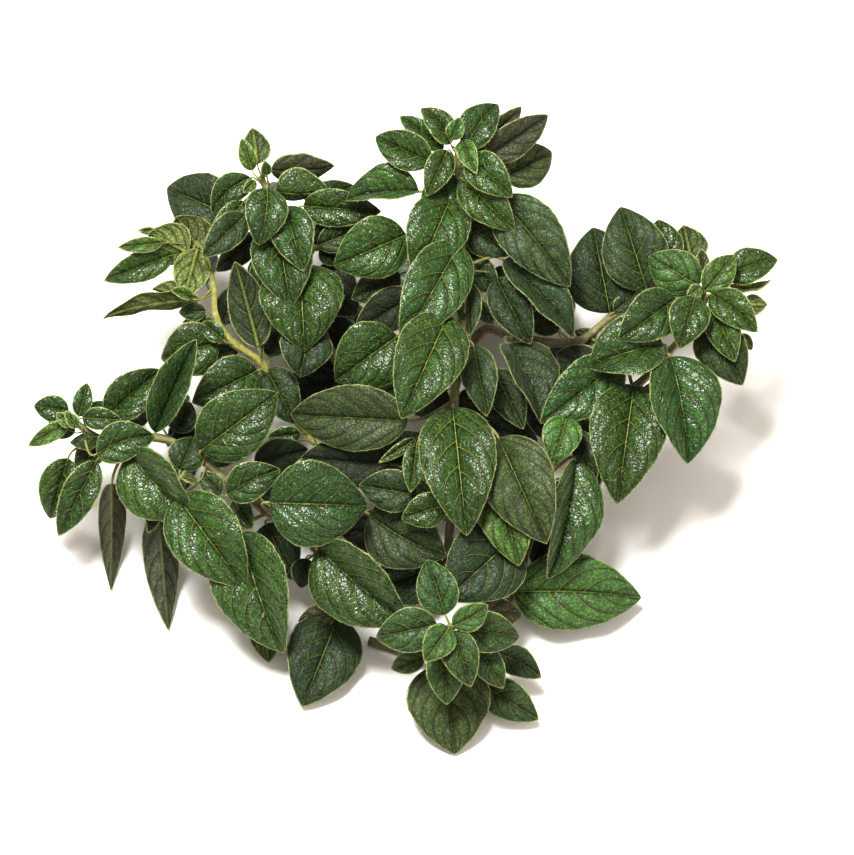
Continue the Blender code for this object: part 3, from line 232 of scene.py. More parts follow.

# Each stem is a list of nodes from the cut end to the tip: across, up, height, thickness.
# Each leaf: stem node; across, up and height of the blade's base and of its tip; width, roll, arch,
# sweep, fold and kind of leaf.
# roll turns the blade about its axis away from the eye, in degrees; 180 shows its underside.
# arch lifts the middle of the rib off the blade, sweep bends the rib sideways, both in mm.
# fold raises both halves towards the upper side, in degrees.
# Each kind of leaf goes by one letter here. D and E are painted shade: leaves coloured darker than green, E
# near black, that stand for the shade among and under the others.
G, D, O, B, N, U, P, W, E = (
    "green", "dark", "olive", "bright", "brownish", "underside", "pale", "wrinkled", "deep",
)
TOP_STEM = [
    (5, -36.9, 8, 3), (6.2, -18, 22, 2.8), (7, 6.9, 33, 2.6), (8.8, 25.6, 39, 2.4),
    (9, 42.4, 43.5, 2.2), (8, 56.9, 47, 2), (7.8, 65.6, 51, 1.8), (7.6, 70, 54.5, 1.5),
]
TOP_LEAVES = [
    (6, 1.2, 66.2, 53.5, -12.9, 72.6, 53, 11, 0, 1, 0, 25, G),
    (6, 4, 69.2, 54, -6.8, 77.9, 55, 6.8, 10, 0.8, 0, 25, G),
    (7, 6, 70.8, 55, -1.5, 79.8, 57, 7.4, 10, 0.5, 1, 20, G),
    (7, 10, 69.8, 55, 18, 80.8, 57, 10, -5, 1, -1, 15, G),
    (6, 12, 68.6, 53, 24, 80.4, 54, 6.8, 15, 0.5, 0, 20, N),
    (6, 14.2, 67, 51, 30.6, 78.2, 52, 9.6, 10, 1, 0, 20, N),
    (5, 19, 62.7, 46, 31.5, 69.1, 44, 12, 0, 1, 0, 8, O),
    (7, 6.2, 71.9, 57, 8.5, 77.4, 60, 5, 0, 0.3, 0, 20, B),
    (7, 8.8, 71.4, 57.5, 12.5, 63.1, 58.5, 5.5, 0, 0.8, 0, 20, B),
    (7, 5.2, 69, 55.5, 0, 57.6, 52.5, 7.5, 0, 1.2, 0, 12, G),
    (7, 6.6, 63.2, 52.7, -1.2, 52.1, 49, 9, 0, 1.2, 0, 12, G),
    (7, 10.8, 67.4, 54.5, 21.4, 57.4, 53, 10, 0, 1.5, 0, 12, G),
    (6, 9, 62, 51.5, 22, 48.9, 48, 11, 0, 1.5, 0, 12, G),
    (5, -2, 58.9, 49.5, -20.4, 56.7, 46, 14.5, 38, 1, 0.3, 38, G),
    (4, -5.2, 48, 44.5, -23.2, 40.2, 41, 16, 0, 2, 0, 10, G),
    (6, 6.2, 57.6, 49.5, -2.8, 36.6, 46, 16, 0, 2.5, 0, 10, G),
    (5, 8, 45.5, 45.5, -6.4, 20.6, 41, 16.5, -5, 2.5, 0, 12, G),
    (3, -7.4, 22.6, 40, -22.8, 11.4, 33, 17.5, 0, 2, 0, 10, G),
    (3, 5.2, 27.5, 43.5, -6.2, 2.1, 40, 18.5, 0, 3, 0, 14, G),
    (4, 10.8, 44.4, 43, 16.4, 53.4, 43, 9.5, 0, 0.5, 0, 8, D),
    (5, 18.2, 57, 46, 35.8, 35, 38, 15.8, 0, 2, -0.6, 8, O),
    (4, 19.4, 41.6, 40, 36.9, 22.2, 33, 14, -30, 1, -0.6, 32, D),
    (4, 17.5, 37, 38, 26, 20.6, 33, 10.5, 0, 1, 0, 10, D),
    (4, 10.2, 36, 41, 10.8, 22.6, 38, 7, 0, 0.8, 0, 10, D),
    (4, -6.8, 38.1, 37, -18.8, 31.9, 33, 9, 0, 1, 0, 8, O),
    (4, 13, 31, 35, 16.5, 25.5, 32, 4.5, 0, 0.5, 0, 10, D),
    (3, 11.8, 20, 37, 15, 2.6, 34, 9.5, 0, 1, 0, 12, D),
    (3, 17, 14, 31, 24.2, -0.6, 29, 9.5, 0, 1, 0, 10, D),
    (2, -4.8, 1.4, 35, -34.2, 3.1, 27, 17, 0, 2.5, 0, 10, O),
    (2, 6.5, 4.6, 37, 10, -26.9, 31, 20, 0, 3, 0, 14, G),
    (2, 18, -3, 33, 29.8, -29, 26, 19, 0, 2.5, 0, 10, O),
    (2, 17.5, -13, 27, 23, -34.6, 21.5, 14.5, 0, 2, 0, 10, B),
    (2, -2.5, -4.9, 33.5, -4, -16.4, 31, 6, 0, 0.8, 0, 12, G),
    (2, -2.8, -3.1, 31, -12, -9.1, 29.5, 3.2, 0, 0.5, 0, 12, G),
    (1, -2.5, -17, 28, -16.8, -14.6, 27.5, 11, 0, 1, 0, 8, D),
    (1, 4.5, -19.4, 29, -6.2, -23, 28, 9, 0, 0.8, 0, 8, G),
    (0, 4, -34, 12, -13.5, -41, 6, 16, 0, 1, 0, 8, D),
    (1, 5, -12, 20, -16, -6, 15, 17, 0, 1.5, 0, 8, D),
    (5, 7, 54, 42, 0, 43, 26, 13, 0, 1, 0, 8, D),
    (5, 9.5, 46, 40, 11.5, 31, 30, 11, 0, 1, 0, 8, D),
    (1, -9, -9.5, 24, -31.5, -7.8, 21, 13.5, 0, 1, 0, 8, E),
    (1, -3, -27, 16, -22.5, -25.6, 13, 12, 0, 1, 0, 8, E),
    (1, 2, -24.5, 15, -8.5, -32, 11.5, 11, 0, 1, 0, 8, E),
    (5, 10.5, 50.2, 43, 21.6, 43.2, 40.8, 10.5, 0, 0.8, 0, 8, D),
    (4, 11, 41.5, 39, 17.4, 33.2, 36, 8, 0, 0.8, 0, 8, D),
    (4, 17, 39.5, 34, 27.2, 29, 32, 7.5, 0, 0.8, 0, 8, E),
    (2, 8.5, 8.5, 27, 17, 2.5, 22, 9, 0, 0.8, 0, 8, E),
    (2, 5, 9, 27, -3, 3, 23, 9, 0, 0.8, 0, 8, E),
    (3, -3, 33, 35, -18, 24, 29, 11, 0, 1, 0, 8, E),
    (2, 11.5, 1, 24, 28, -3.5, 18, 10.5, 0, 1, 0, 8, E),
    (5, 10, 58.5, 41, 14, 65, 23.5, 12, 0, 1, 0, 8, D),
    (4, 4.5, 47, 36, -1, 57, 17, 12, 0, 1, 0, 8, D),
    (3, 4, 30.5, 31, -6, 43, 9, 13, 0, 1, 0, 8, G),
]

UPPER_LEFT_STEM = [
    (-6.8, -13, 9, 2.8), (-19.2, 9.4, 18, 2.6), (-27.2, 26.9, 25, 2.4), (-31.8, 41.4, 31.5, 2.2),
    (-35.5, 51.9, 36, 2), (-39.8, 58.9, 40, 1.8), (-41.2, 62, 42, 1.6), (-41, 64.2, 44.5, 1.4),
]
UPPER_LEFT_LEAVES = [
    (6, -42.5, 66, 43, -43.8, 75, 46.5, 7.6, 170, 0.5, 0, 10, U),
    (6, -43.8, 64.4, 44, -46.5, 72.4, 48, 4.6, 0, 0.5, 0, 15, B),
    (7, -43, 61.5, 45, -46, 58.6, 44.5, 3, 0, 0.3, 0, 10, B),
    (6, -44.2, 62.4, 45, -53.8, 53.4, 40, 8, 0, 2, 1.5, 10, G),
    (5, -37.8, 59, 42.5, -24.8, 59.5, 41, 13, 38, 1, 0, -38, G),
    (5, -39, 64.4, 40, -23.2, 65.4, 39, 9, 30, 1, 0, -20, N),
    (7, -40, 63.2, 45.5, -40.5, 66.8, 48, 3, 0, 0.2, 0, 20, G),
    (5, -40, 59.6, 45.5, -42.2, 45.4, 41, 11, 0, 2, -0.8, 8, G),
    (5, -49.5, 53, 36, -65.4, 60.2, 34, 15.6, 0, 1.5, 0, 8, D),
    (5, -46, 56.4, 42, -54.5, 44.4, 37.5, 7, 0, 1.2, 0, 12, G),
    (4, -45.5, 53, 40.5, -56.2, 42.4, 38.5, 8.5, 0, 1.2, 0, 10, D),
    (4, -35.5, 55, 43, -30.8, 38.9, 40, 11.5, 0, 1.5, 0, 12, G),
    (4, -37.5, 50.6, 40, -34, 29.9, 36, 16, 0, 2, 0, 10, G),
    (3, -31.8, 40.5, 36.5, -30.5, 18.9, 32.5, 21.5, 0, 2.5, 0, 8, G),
    (2, -29.4, 24.2, 29.5, -31.6, 12.4, 27.5, 13.6, 0, 1, 0, 8, D),
    (4, -30.8, 55.4, 39, -11.5, 53.9, 40, 10, 0, 1, 0, 14, G),
    (5, -30.5, 55.6, 37.5, -18.2, 60.6, 37, 8, 0, 0.8, 0, 8, D),
    (3, -27.2, 45.4, 36, -13, 51.4, 37, 8, 0, 0.8, 0, 10, D),
    (3, -27.5, 45.6, 35, -25.2, 51.6, 38, 5.5, 0, 0.3, 0, 8, D),
    (3, -26.8, 44.6, 34, -20.5, 41.4, 32, 6, 0, 0.5, 0, 8, D),
    (3, -41, 42, 31, -44.4, 36.2, 28, 5, 0, 0.5, 0, 8, D),
    (4, -42.5, 48, 33, -53, 39, 28, 7, 0, 0.8, 0, 8, D),
    (2, -29, 27, 20, -31, 34, 0.2, 15, 0, 1, 0, 8, D),
    (1, -20, 14, 19, -17, 31, 13, 15, 0, 1, 0, 8, D),
    (1, -14, 7, 16.5, -1, 12.5, 14, 13, 0, 1, 0, 8, D),
    (2, -26.5, 25.5, 21, -16.5, 16.5, 17, 12, 0, 0.8, 0, 8, E),
    (1, -21, 11.8, 16, -36, 9.5, 13, 13, 0, 0.8, 0, 8, E),
    (3, -28, 39.5, 29, -17.5, 28, 24, 13, 0, 0.8, 0, 8, E),
    (4, -38.5, 54, 29, -42, 60, 13.5, 12, 0, 1, 0, 8, D),
    (3, -30, 44.5, 26, -23, 57, 7, 13, 0, 1, 0, 8, G),
]

PALE_STEM = [
    (-26.8, -5.6, 6, 2.4), (-38, 8, 15, 2.2), (-41.2, 15.6, 20.5, 2.1), (-48.8, 21.1, 25, 2),
    (-52.8, 27.4, 28, 1.9), (-53.5, 35.6, 31, 1.8), (-55.5, 42.4, 33, 1.6), (-58, 46.5, 34.5, 1.4),
]
PALE_LEAVES = [
    (6, -56.5, 43.5, 34.5, -62.8, 52.8, 40, 12, 175, 1, 0, 14, U),
    (7, -60, 43.5, 35.5, -69.8, 48.6, 38, 11.5, 170, 1, 0, 12, P),
    (7, -66.5, 46, 35.5, -77.5, 44.9, 35, 4.4, 0, 0.5, 0, 20, B),
    (7, -68, 49, 36, -72.5, 49.2, 36, 2.2, 0, 0.2, 0, 15, B),
    (6, -63.8, 43.2, 32.5, -81, 36.6, 29, 8.2, 0, 1.5, 0, 15, G),
    (7, -57.5, 44.5, 36.5, -60.8, 32.2, 32, 9.5, 180, 1, 0, 10, P),
    (5, -57.2, 32, 30, -81.2, 27.7, 26.5, 8.5, 125, 0.8, 0, 12, U),
    (5, -59.4, 31.6, 31.2, -68.8, 34.6, 32, 7, 150, 1.2, 0, 38, U),
    (5, -58.8, 32, 32.5, -64, 34.2, 33.5, 4.5, 20, 0.5, 0, 40, B),
    (4, -55.5, 28.9, 28, -62.2, 28.7, 27, 5, 0, 0.5, 0, 8, D),
    (4, -53.5, 25.8, 26, -61.2, 26.2, 25, 4.5, 0, 0.5, 0, 8, G),
    (3, -52.5, 21.2, 25.5, -66.6, 17, 22.5, 14, 0, 1.2, 0, 10, G),
    (3, -51, 21.7, 27, -56.2, 26.3, 27.5, 5, 0, 0.4, 0, 12, G),
    (2, -42.2, 20, 23, -48, 41.4, 35.5, 10.5, 175, 1, 0, 6, O),
    (2, -41.5, 20.4, 20, -43.8, 40.8, 31, 7, 0, 1, 0, 8, D),
    (2, -41, 20.6, 21.5, -40.6, 29.2, 25, 3, 0, 0.5, 0, 8, G),
    (3, -47.5, 19, 21.5, -56.2, 17.5, 19.5, 5, 0, 0.5, 0, 8, D),
    (2, -42.5, 14, 23.5, -58.6, 6, 23, 13.5, 0, 1.5, 0, 8, G),
    (3, -40.2, 14.4, 19.5, -32.8, 0.6, 16, 11, 0, 1, 0, 8, D),
    (0, -31.8, -1.9, 21, -40, -2.8, 20, 5, 0, 0.5, 0, 8, G),
    (0, -33, -4, 17, -39.8, -7, 16, 4.5, 0, 0.5, 0, 8, D),
    (3, -48, 26, 21, -46.5, 36, 0.2, 8.5, 0, 1, 0, 8, D),
    (4, -51.5, 25.5, 25, -47, 36.5, 26, 7, 0, 0.6, 0, 8, E),
    (2, -39.5, 17.5, 18.5, -36, 27.5, 14, 8.5, 0, 0.8, 0, 8, D),
    (5, -55.5, 36, 25, -59.5, 45, 8, 11, 0, 1, 0, 8, D),
]

LEFT_STEM = [
    (-20.5, -40.6, 4, 2.8), (-27.2, -30.6, 14, 2.6), (-40.2, -21, 22, 2.4), (-48.8, -14.4, 25.5, 2.3),
    (-58, -6.9, 27.5, 2.2), (-67.2, -2.8, 28.5, 2), (-79.2, -3.6, 28, 1.8), (-86.8, 0.3, 28.5, 1.6),
    (-88.8, 3, 31, 1.4),
]
LEFT_LEAVES = [
    (8, -89.5, 3.9, 30, -98.2, 5.2, 29, 7, 0, 0.6, 0, 10, G),
    (8, -86.8, 2.6, 31, -84.8, 10.9, 33.5, 5.2, 0, 0.5, 0, 15, G),
    (8, -85.6, 2.2, 32, -76.2, 1.7, 32, 6, 0, 0.8, 0, 12, G),
    (8, -89.6, 0.8, 30.5, -99.5, -4.9, 27, 4.8, 0, 0.8, 0, 15, B),
    (8, -88.6, 0.2, 32.5, -92.4, 3.4, 33.5, 3.5, 0, 0.3, 0, 15, B),
    (8, -87, -0.2, 33, -90.2, 3.8, 35, 3.5, 0, 0.2, 0, 20, B),
    (6, -82.2, -2.6, 28, -89, -4, 27, 7, 30, 1, 0, -45, U),
    (7, -82.2, -6.8, 31, -67.8, -2.4, 32, 10.5, 0, 1, -1.3, 14, G),
    (6, -74, -6.6, 29.5, -58.2, -22.9, 24, 19.5, 26, 1.5, 0, 26, G),
    (4, -62, -17.6, 26.5, -45, -40, 19, 19, 4, 2, 0, 15, G),
    (2, -46, -26.5, 23, -35.8, -56.4, 11, 22, 20, 2.5, 0, 24, G),
    (1, -41, -44, 8, -39.4, -59, 3, 9, 180, 1, 0, 8, U),
    (5, -67.8, -1.4, 29, -57.6, 21.9, 38, 15, -8, 1.5, 0, 52, G),
    (6, -79.8, 2.3, 30, -66, 14.2, 35, 12.5, 0, 1, -0.5, 30, G),
    (6, -89.6, -8, 25, -94.2, -23.1, 15, 11.5, 0, 1.2, 0, 25, G),
    (6, -82.6, -8.8, 25, -92, -27.4, 14, 9.6, 0, 1.2, 0, 20, G),
    (6, -78.6, -14.5, 21.5, -79, -40.6, 0.2, 13, 180, 1, 0, 58, W),
    (4, -66.9, -21, 20.5, -64.6, -50.6, 0.2, 13, 175, 1, 0, 46, W),
    (4, -66.5, -18, 21, -69.5, -26.6, 18, 4.5, 0, 0.3, 0, 10, D),
    (5, -63, -1.2, 26.5, -59, 6, 28.5, 8, 0, 0.8, 0, 8, D),
    (3, -61.5, -10.8, 27.5, -58, -2.6, 29, 9.5, 0, 0.8, 0, 8, D),
    (4, -56.2, -5.9, 32, -37.2, 8.4, 39, 17, 0, 2, 0, 8, G),
    (3, -49.5, -17, 32, -36.4, -10.8, 35, 10, 0, 1, -0.8, 10, G),
    (3, -48, -18.6, 24, -43.6, -25.8, 23, 6, 0, 0.5, 0, 8, G),
    (3, -51.5, -16.9, 25, -56.2, -11.4, 26, 6, 0, 0.5, 0, 8, O),
    (4, -57.5, -13.6, 27, -61.6, -12.6, 28, 3, 40, 0.3, 0, 0, P),
    (2, -39, -18.9, 33.5, -14.6, -19.7, 31, 22, 0, 2.5, 0, 8, G),
    (1, -26.8, -30.4, 25, -4.4, -48.6, 20, 22, 24, 1.5, 0, 25, G),
    (1, -14.2, -22, 23, 4.8, -32.4, 20.5, 17.5, 0, 1.5, 1, 8, O),
    (0, -22.1, -47.6, 6, -30.9, -69.6, 2, 18.8, 0, 1, 0, 6, D),
    (0, -23, -46.5, 10, -32, -48.6, 7, 7, 0, 1.2, 0, -25, N),
    (1, -30.2, -33, 14, -31.4, -40.4, 10, 6.5, 0, 0.5, 0, 8, E),
    (2, -36, -18, 17, -18, -12, 12, 16, 0, 1, 0, 8, D),
    (4, -55, -10, 20, -48, 4, 16, 13, 0, 1, 0, 8, D),
    (2, -40.2, -24.5, 15.5, -33.2, -38.2, 11.5, 12, 0, 1, 0, 8, D),
    (2, -43.5, -13, 17, -31, -17.5, 14, 10, 0, 0.8, 0, 8, E),
    (3, -43, -9, 22, -29.5, -5.8, 17, 9.5, 0, 0.8, 0, 8, E),
    (6, -80.5, -3.5, 25, -88, -9.8, 22, 7.5, 0, 0.6, 0, 8, D),
    (7, -85.5, 0.5, 26, -79, 6, 25, 6.5, 0, 0.5, 0, 8, D),
    (5, -64, -4.5, 24, -56.5, 2, 23, 7.5, 0, 0.6, 0, 8, E),
    (5, -75.5, 0.5, 22, -69.5, 5.5, 21, 6.5, 0, 0.6, 0, 8, D),
    (8, -88, -1.5, 27, -94.5, 1.5, 26, 6, 0, 0.6, 0, 8, D),
    (6, -79, 1.5, 21, -74, 8.5, 4, 10, 0, 1, 0, 8, D),
    (5, -66, 1.5, 21, -62.5, 11, 4, 9, 0, 1, 0, 8, G),
    (4, -60.5, -16, 20, -64, -9, 4, 11, 0, 1, 0, 8, D),
]

RIGHT_STEM = [
    (19.5, -46.1, 4.5, 2.8), (23.2, -36.9, 9, 2.7), (31.2, -10.6, 19, 2.5), (38.2, -0.6, 24.5, 2.4),
    (52.2, 9.9, 30.5, 2.2), (60.2, 18.1, 33.5, 2), (68.2, 27.4, 36.5, 1.8), (69.2, 31.9, 39, 1.6),
    (69.6, 34.6, 41.5, 1.4),
]
RIGHT_LEAVES = [
    (4, 48.5, 16, 34, 28.5, 0.9, 32, 14.5, 0, 1.5, 0, 10, G),
    (5, 59, 20.4, 36, 40.4, 14.8, 35.5, 19, 26, 1.5, 0, 26, G),
    (6, 62.2, 31.9, 39, 48, 21.6, 38.5, 13, 0, 1.5, 0, 12, G),
    (7, 67, 32.2, 42, 63.2, 19.6, 39.5, 10.5, 0, 1.5, 0, 8, G),
    (8, 68, 35.2, 41.5, 55.6, 42.6, 43, 12, 0, 2.2, 0, -8, B),
    (8, 69.8, 33.9, 42, 77, 43, 44.5, 8, 0, 1, 0, 12, B),
    (7, 75.5, 37.2, 39, 88, 41.9, 39, 9.5, -15, 1, -0.8, 10, G),
    (7, 75.8, 35.4, 38, 86.2, 36.4, 37.5, 5, 120, 0.8, 0, 10, P),
    (7, 71.2, 33, 42, 82.6, 23.6, 40, 9, 0, 1.5, -0.8, 12, G),
    (6, 79.5, 30.6, 35.5, 85.3, 30.6, 35, 5.6, 170, 0.5, 0, 5, U),
    (6, 78.8, 23.1, 33.5, 81.4, 19.2, 32, 3.4, 170, 0.3, 0, 5, U),
    (7, 72, 30, 39.5, 77, 16.2, 35.5, 9, 0, 1.2, 0, 10, G),
    (6, 69, 24.4, 35, 79, 10.4, 30, 13, 0, 1.5, -1, 10, D),
    (5, 60.9, 17.4, 36.5, 65.3, -9.2, 27, 21, -20, 2, 0, 25, G),
    (4, 51.8, 10.4, 34, 47.5, -19.1, 27, 20, 0, 2.5, 0, 15, G),
    (8, 68.6, 34.9, 43, 65, 32.4, 43, 3.6, 0, 0.3, 0, 10, P),
    (2, 37, -8.6, 28, 30.5, -38.1, 17, 18, -32, 1.5, 0, 34, G),
    (3, 35, 2.4, 32, 31.6, -9.4, 29.5, 10, 0, 1.2, 0, 8, B),
    (3, 38.2, -1.1, 27, 41.8, -15.4, 22, 6.5, 0, 1, 0, 10, D),
    (4, 40.5, 4, 26, 42.8, -16.4, 21, 7, 0, 1, 0, 15, G),
    (1, 21.8, -41.3, 10, 53.8, -42.8, 5, 19.8, 0, 1.5, -0.8, 6, B),
    (2, 32, -14, 17, 14, -22, 12, 16, 0, 1, 0, 8, D),
    (3, 40, 4, 21, 22, 4, 15, 14, 0, 1, 0, 8, D),
    (2, 21.5, -28, 20.5, 4.8, -43, 18.5, 20.5, 0, 2, 0, 8, D),
    (4, 44.5, 13.5, 25, 32.5, 18.5, 21, 9.5, 0, 0.8, 0, 8, E),
    (3, 35, -2.5, 21, 25, 7, 18, 10, 0, 0.8, 0, 8, E),
    (2, 30.5, -22, 12, 26.5, -34.5, 8, 8, 0, 0.8, 0, 8, E),
    (2, 33.5, -13.5, 16, 35.5, -29.5, 10, 9, 0, 0.8, 0, 8, E),
    (5, 60, 12, 26, 58, 0, 8, 13, 0, 1, 0, 8, D),
    (6, 71, 22, 27, 76, 14.5, 10, 9.5, 0, 1, 0, 8, D),
    (4, 47.5, 4, 23, 44, -8, 5, 12, 0, 1, 0, 8, G),
]

BACK_RIGHT_STEM = [
    (3.2, -0.6, 6, 2.6), (13.2, 23.1, 15, 2.4), (22, 22.4, 19, 2.3), (37, 21.1, 23, 2.2),
    (46.2, 27.4, 27, 2), (55.8, 33.9, 30, 1.9), (61.2, 39.4, 32, 1.7), (65.2, 42.4, 33.5, 1.5),
]
BACK_RIGHT_LEAVES = [
    (4, 46, 28.6, 28, 41.8, 50.1, 34, 19.4, 0, 1, 0, 6, D),
    (5, 55.2, 34.4, 31.5, 48.6, 55.2, 38, 17, 0, 1.5, 0, 8, D),
    (6, 60.2, 40.2, 34.5, 58.2, 52, 38, 10.5, 0, 0.8, 0, 8, G),
    (6, 66.5, 41.4, 35.5, 64.5, 50.5, 39, 10, 175, 0.6, 0, 8, U),
    (6, 69.2, 37.5, 35, 69, 44.6, 37, 4, 0, 0.5, 0, 8, N),
    (4, 47.2, 28.9, 29, 51.8, 32.8, 30, 4.5, 0, 0.3, 0, 8, D),
    (4, 42.6, 21.4, 24, 37.2, 24, 23.5, 4.5, 170, 0.4, 0, 8, U),
    (3, 33, 24, 24, 25.2, 29, 23, 7, 0, 0.6, 0, 8, D),
    (2, 20.4, 20.4, 29, 28.5, 1.6, 29, 18, -36, 1.5, 0, 34, D),
    (1, 10.5, 26.5, 13, 10, 38, 0.2, 7.5, 0, 1, 0, 8, D),
    (4, 48, 29.5, 20, 49, 38.5, 0.2, 13, 0, 1, 0, 8, D),
    (3, 36, 21, 21, 31.5, 9, 19, 9, 0, 0.8, 0, 8, N),
    (5, 57.5, 36, 24, 60, 47, 6, 12, 0, 1, 0, 8, D),
    (3, 33, 24.5, 17, 31, 37, 4, 11, 0, 1, 0, 8, G),
    (2, 20, 25.5, 15, 20.5, 38, 3, 11, 0, 1, 0, 8, G),
]

FRONT_STEM = [
    (-14.5, -53.6, 1.25, 2.5), (-6, -56, 1.25, 2.5), (0.8, -56.9, 6.5, 2.4), (4.8, -53.1, 14.5, 2.2),
    (5.8, -50.3, 21.5, 2), (5.9, -49.3, 26, 1.6),
]
FRONT_LEAVES = [
    (5, 4.6, -46.6, 27, 0.2, -33, 31, 10.5, 0, 1, 0, 8, G),
    (4, 2.5, -49.1, 26, -12.6, -52.4, 22, 11.5, 0, 1.2, 0, 8, G),
    (5, 5.5, -50, 29, -0.5, -58.2, 27.5, 8.2, 0, 1, 0, 10, B),
    (5, 6.5, -50.8, 27.5, 11, -64.5, 22, 9.5, 0, 1.3, 0, 10, G),
    (5, 6.6, -49.4, 29, 15.2, -44.2, 30.5, 7, 0, 0.8, 0.5, 12, B),
    (4, 9, -50, 24.5, 23.2, -52.4, 20, 10.5, 0, 1.2, 0, 8, G),
    (3, 4.5, -54.4, 22, 5, -69.1, 14, 9.8, 0, 1.2, 0, 8, G),
    (2, 4.6, -59, 9, 7, -81.4, 1.5, 21, 0, 1, 0, 5, O),
    (2, -0.5, -57, 14, -8.8, -60.4, 10, 6, 0, 0.8, 0, 8, G),
    (3, 13, -55, 18, 19, -65.1, 12, 7.5, 0, 0.8, 0, 8, G),
    (2, 17.5, -56.5, 9, 28.5, -62.6, 7.5, 7.8, 0, 0.8, -0.8, 8, D),
    (2, 14.5, -64.5, 6, 27.8, -73, 3, 10, 0, 0.8, 0, 8, D),
    (3, 12, -46, 18, 24, -47, 13, 8, 0, 0.5, 0, 8, N),
]

SPRIGS = {
    "sprig_top": (TOP_STEM, TOP_LEAVES),
    "sprig_upper_left": (UPPER_LEFT_STEM, UPPER_LEFT_LEAVES),
    "sprig_pale": (PALE_STEM, PALE_LEAVES),
    "sprig_left": (LEFT_STEM, LEFT_LEAVES),
    "sprig_right": (RIGHT_STEM, RIGHT_LEAVES),
    "sprig_back_right": (BACK_RIGHT_STEM, BACK_RIGHT_LEAVES),
    "sprig_front": (FRONT_STEM, FRONT_LEAVES),
}


def seen(across, up, height):
    """The point in mm that is seen there, at that height above the surface."""
    away = (up - height * math.cos(VIEW_ELEVATION)) / math.sin(VIEW_ELEVATION)
    return Vector((across - CENTRE_X, away - CENTRE_Y, height))


def stem_point(stem, node, back):
    """The point on a stem a little way down from one of its nodes, or up from the cut end."""
    points = [seen(*entry[:3]) for entry in stem]
    path = points[node::-1] if node else points
    for start, end in zip(path, path[1:]):
        length = (end - start).length
        if back <= length:
            return start.lerp(end, back / length)
        back -= length
    return path[-1]


def place_leaves():
    """All leaves of all sprigs, each from its own place just below its node."""
    leaves = []
    for sprig, (stem, entries) in SPRIGS.items():
        taken = {}
        for entry in entries:
            rank = taken.get(entry[0], 0)
            taken[entry[0]] = rank + 1
            leaves.append(Leaf(sprig, entry, stem, rank))
    return leaves


class Leaf:
    """One leaf blade, with its rib as a curve and its two halves as folded planes."""

    def __init__(self, sprig, entry, stem, rank):
        node, base, tip = entry[0], entry[1:4], entry[4:7]
        self.width, roll, arch, sweep, fold, self.look = entry[7:]
        self.sprig = sprig
        self.root = stem_point(stem, node, ROOT_START + rank * ROOT_SPACING)
        self.base = seen(*base)
        self.tip = seen(*tip)
        self.lift = 0.0
        self.fold = math.radians(fold)
        axis = (self.tip - self.base).normalized()
        facing = (TOWARDS_EYE - axis * TOWARDS_EYE.dot(axis)).normalized()
        side = axis.cross(facing)
        turn = math.radians(roll)
        self.normal = facing * math.cos(turn) + side * math.sin(turn)
        self.side = side * math.cos(turn) - facing * math.sin(turn)
        self.bow = 2 * (self.normal * arch + self.side * sweep)
        self.length = (self.tip - self.base).length

    def rib(self, along):
        """The rib's point at a share of the blade's length."""
        middle = (self.base + self.tip) / 2 + self.bow
        point = self.base * (1 - along) ** 2 + middle * (2 * along * (1 - along)) + self.tip * along ** 2
        return point + TOWARDS_EYE * self.lift

    def half_width(self, along):
        """Half the blade's width at a share of its length: a round base and a blunt tip."""
        if along <= 0 or along >= 1:
            return 0.0
        base_power = TIP_ROUNDNESS * WIDEST_AT / (1 - WIDEST_AT)
        rise = (along / WIDEST_AT) ** base_power
        fall = ((1 - along) / (1 - WIDEST_AT)) ** TIP_ROUNDNESS
        return self.width / 2 * rise * fall

    def across(self, hand):
        """The direction from the rib to the edge on one hand, +1 or -1, in the folded half."""
        return self.side * (hand * math.cos(self.fold)) + self.normal * math.sin(self.fold)


def depth(point):
    return point.dot(TOWARDS_EYE)


def cell_of(point):
    up = point.y * math.sin(VIEW_ELEVATION) + point.z * math.cos(VIEW_ELEVATION)
    return (math.floor(point.x / CELL), math.floor(up / CELL))


def leaf_cells(leaf):
    """The blade as seen: for each cell of the view, its nearest and farthest depth, outer part last."""
    cells = {}
    steps = max(FEWEST_SAMPLE_ROWS, math.ceil(leaf.length / CELL * SAMPLES_PER_CELL))
    for row in range(1, steps):
        along = row / steps
        half = leaf.half_width(along)
        spans = max(FEWEST_SAMPLES_ACROSS, math.ceil(half / CELL * SAMPLES_PER_CELL))
        for span in range(-spans, spans + 1):
            hand = 1 if span >= 0 else -1
            point = leaf.rib(along) + leaf.across(hand) * (half * abs(span) / spans)
            value = depth(point)
            key = cell_of(point)
            low, high, outer = cells.get(key, (value, value, along))
            cells[key] = (min(low, value), max(high, value), max(outer, along))
    return cells


def stem_cells(stem):
    cells = {}
    for start, end in zip(stem, stem[1:]):
        first, last = seen(*start[:3]), seen(*end[:3])
        steps = math.ceil((last - first).length / CELL * 2)
        for step in range(steps + 1):
            point = first.lerp(last, step / steps)
            reach = start[3] / 2
            for shift in (-reach, 0, reach):
                moved = point + Vector((shift, 0, 0))
                value = depth(moved)
                key = cell_of(moved)
                low, high = cells.get(key, (value, value))[:2]
                cells[key] = (min(low, value - reach), max(high, value + reach), 1.0)
    return cells


def pair_rule(first, second, same_sprig):
    """How far apart two overlapping sheets are: the order, and the room between them."""
    shared = first.keys() & second.keys()
    if same_sprig:
        shared = {key for key in shared if min(first[key][2], second[key][2]) > TOUCHING_SHARE}
    if not shared:
        return None
    ahead = sum(first[key][0] + first[key][1] - second[key][0] - second[key][1] for key in shared)
    if ahead >= 0:
        return 1, min(first[key][0] - second[key][1] for key in shared)
    return -1, min(second[key][0] - first[key][1] for key in shared)


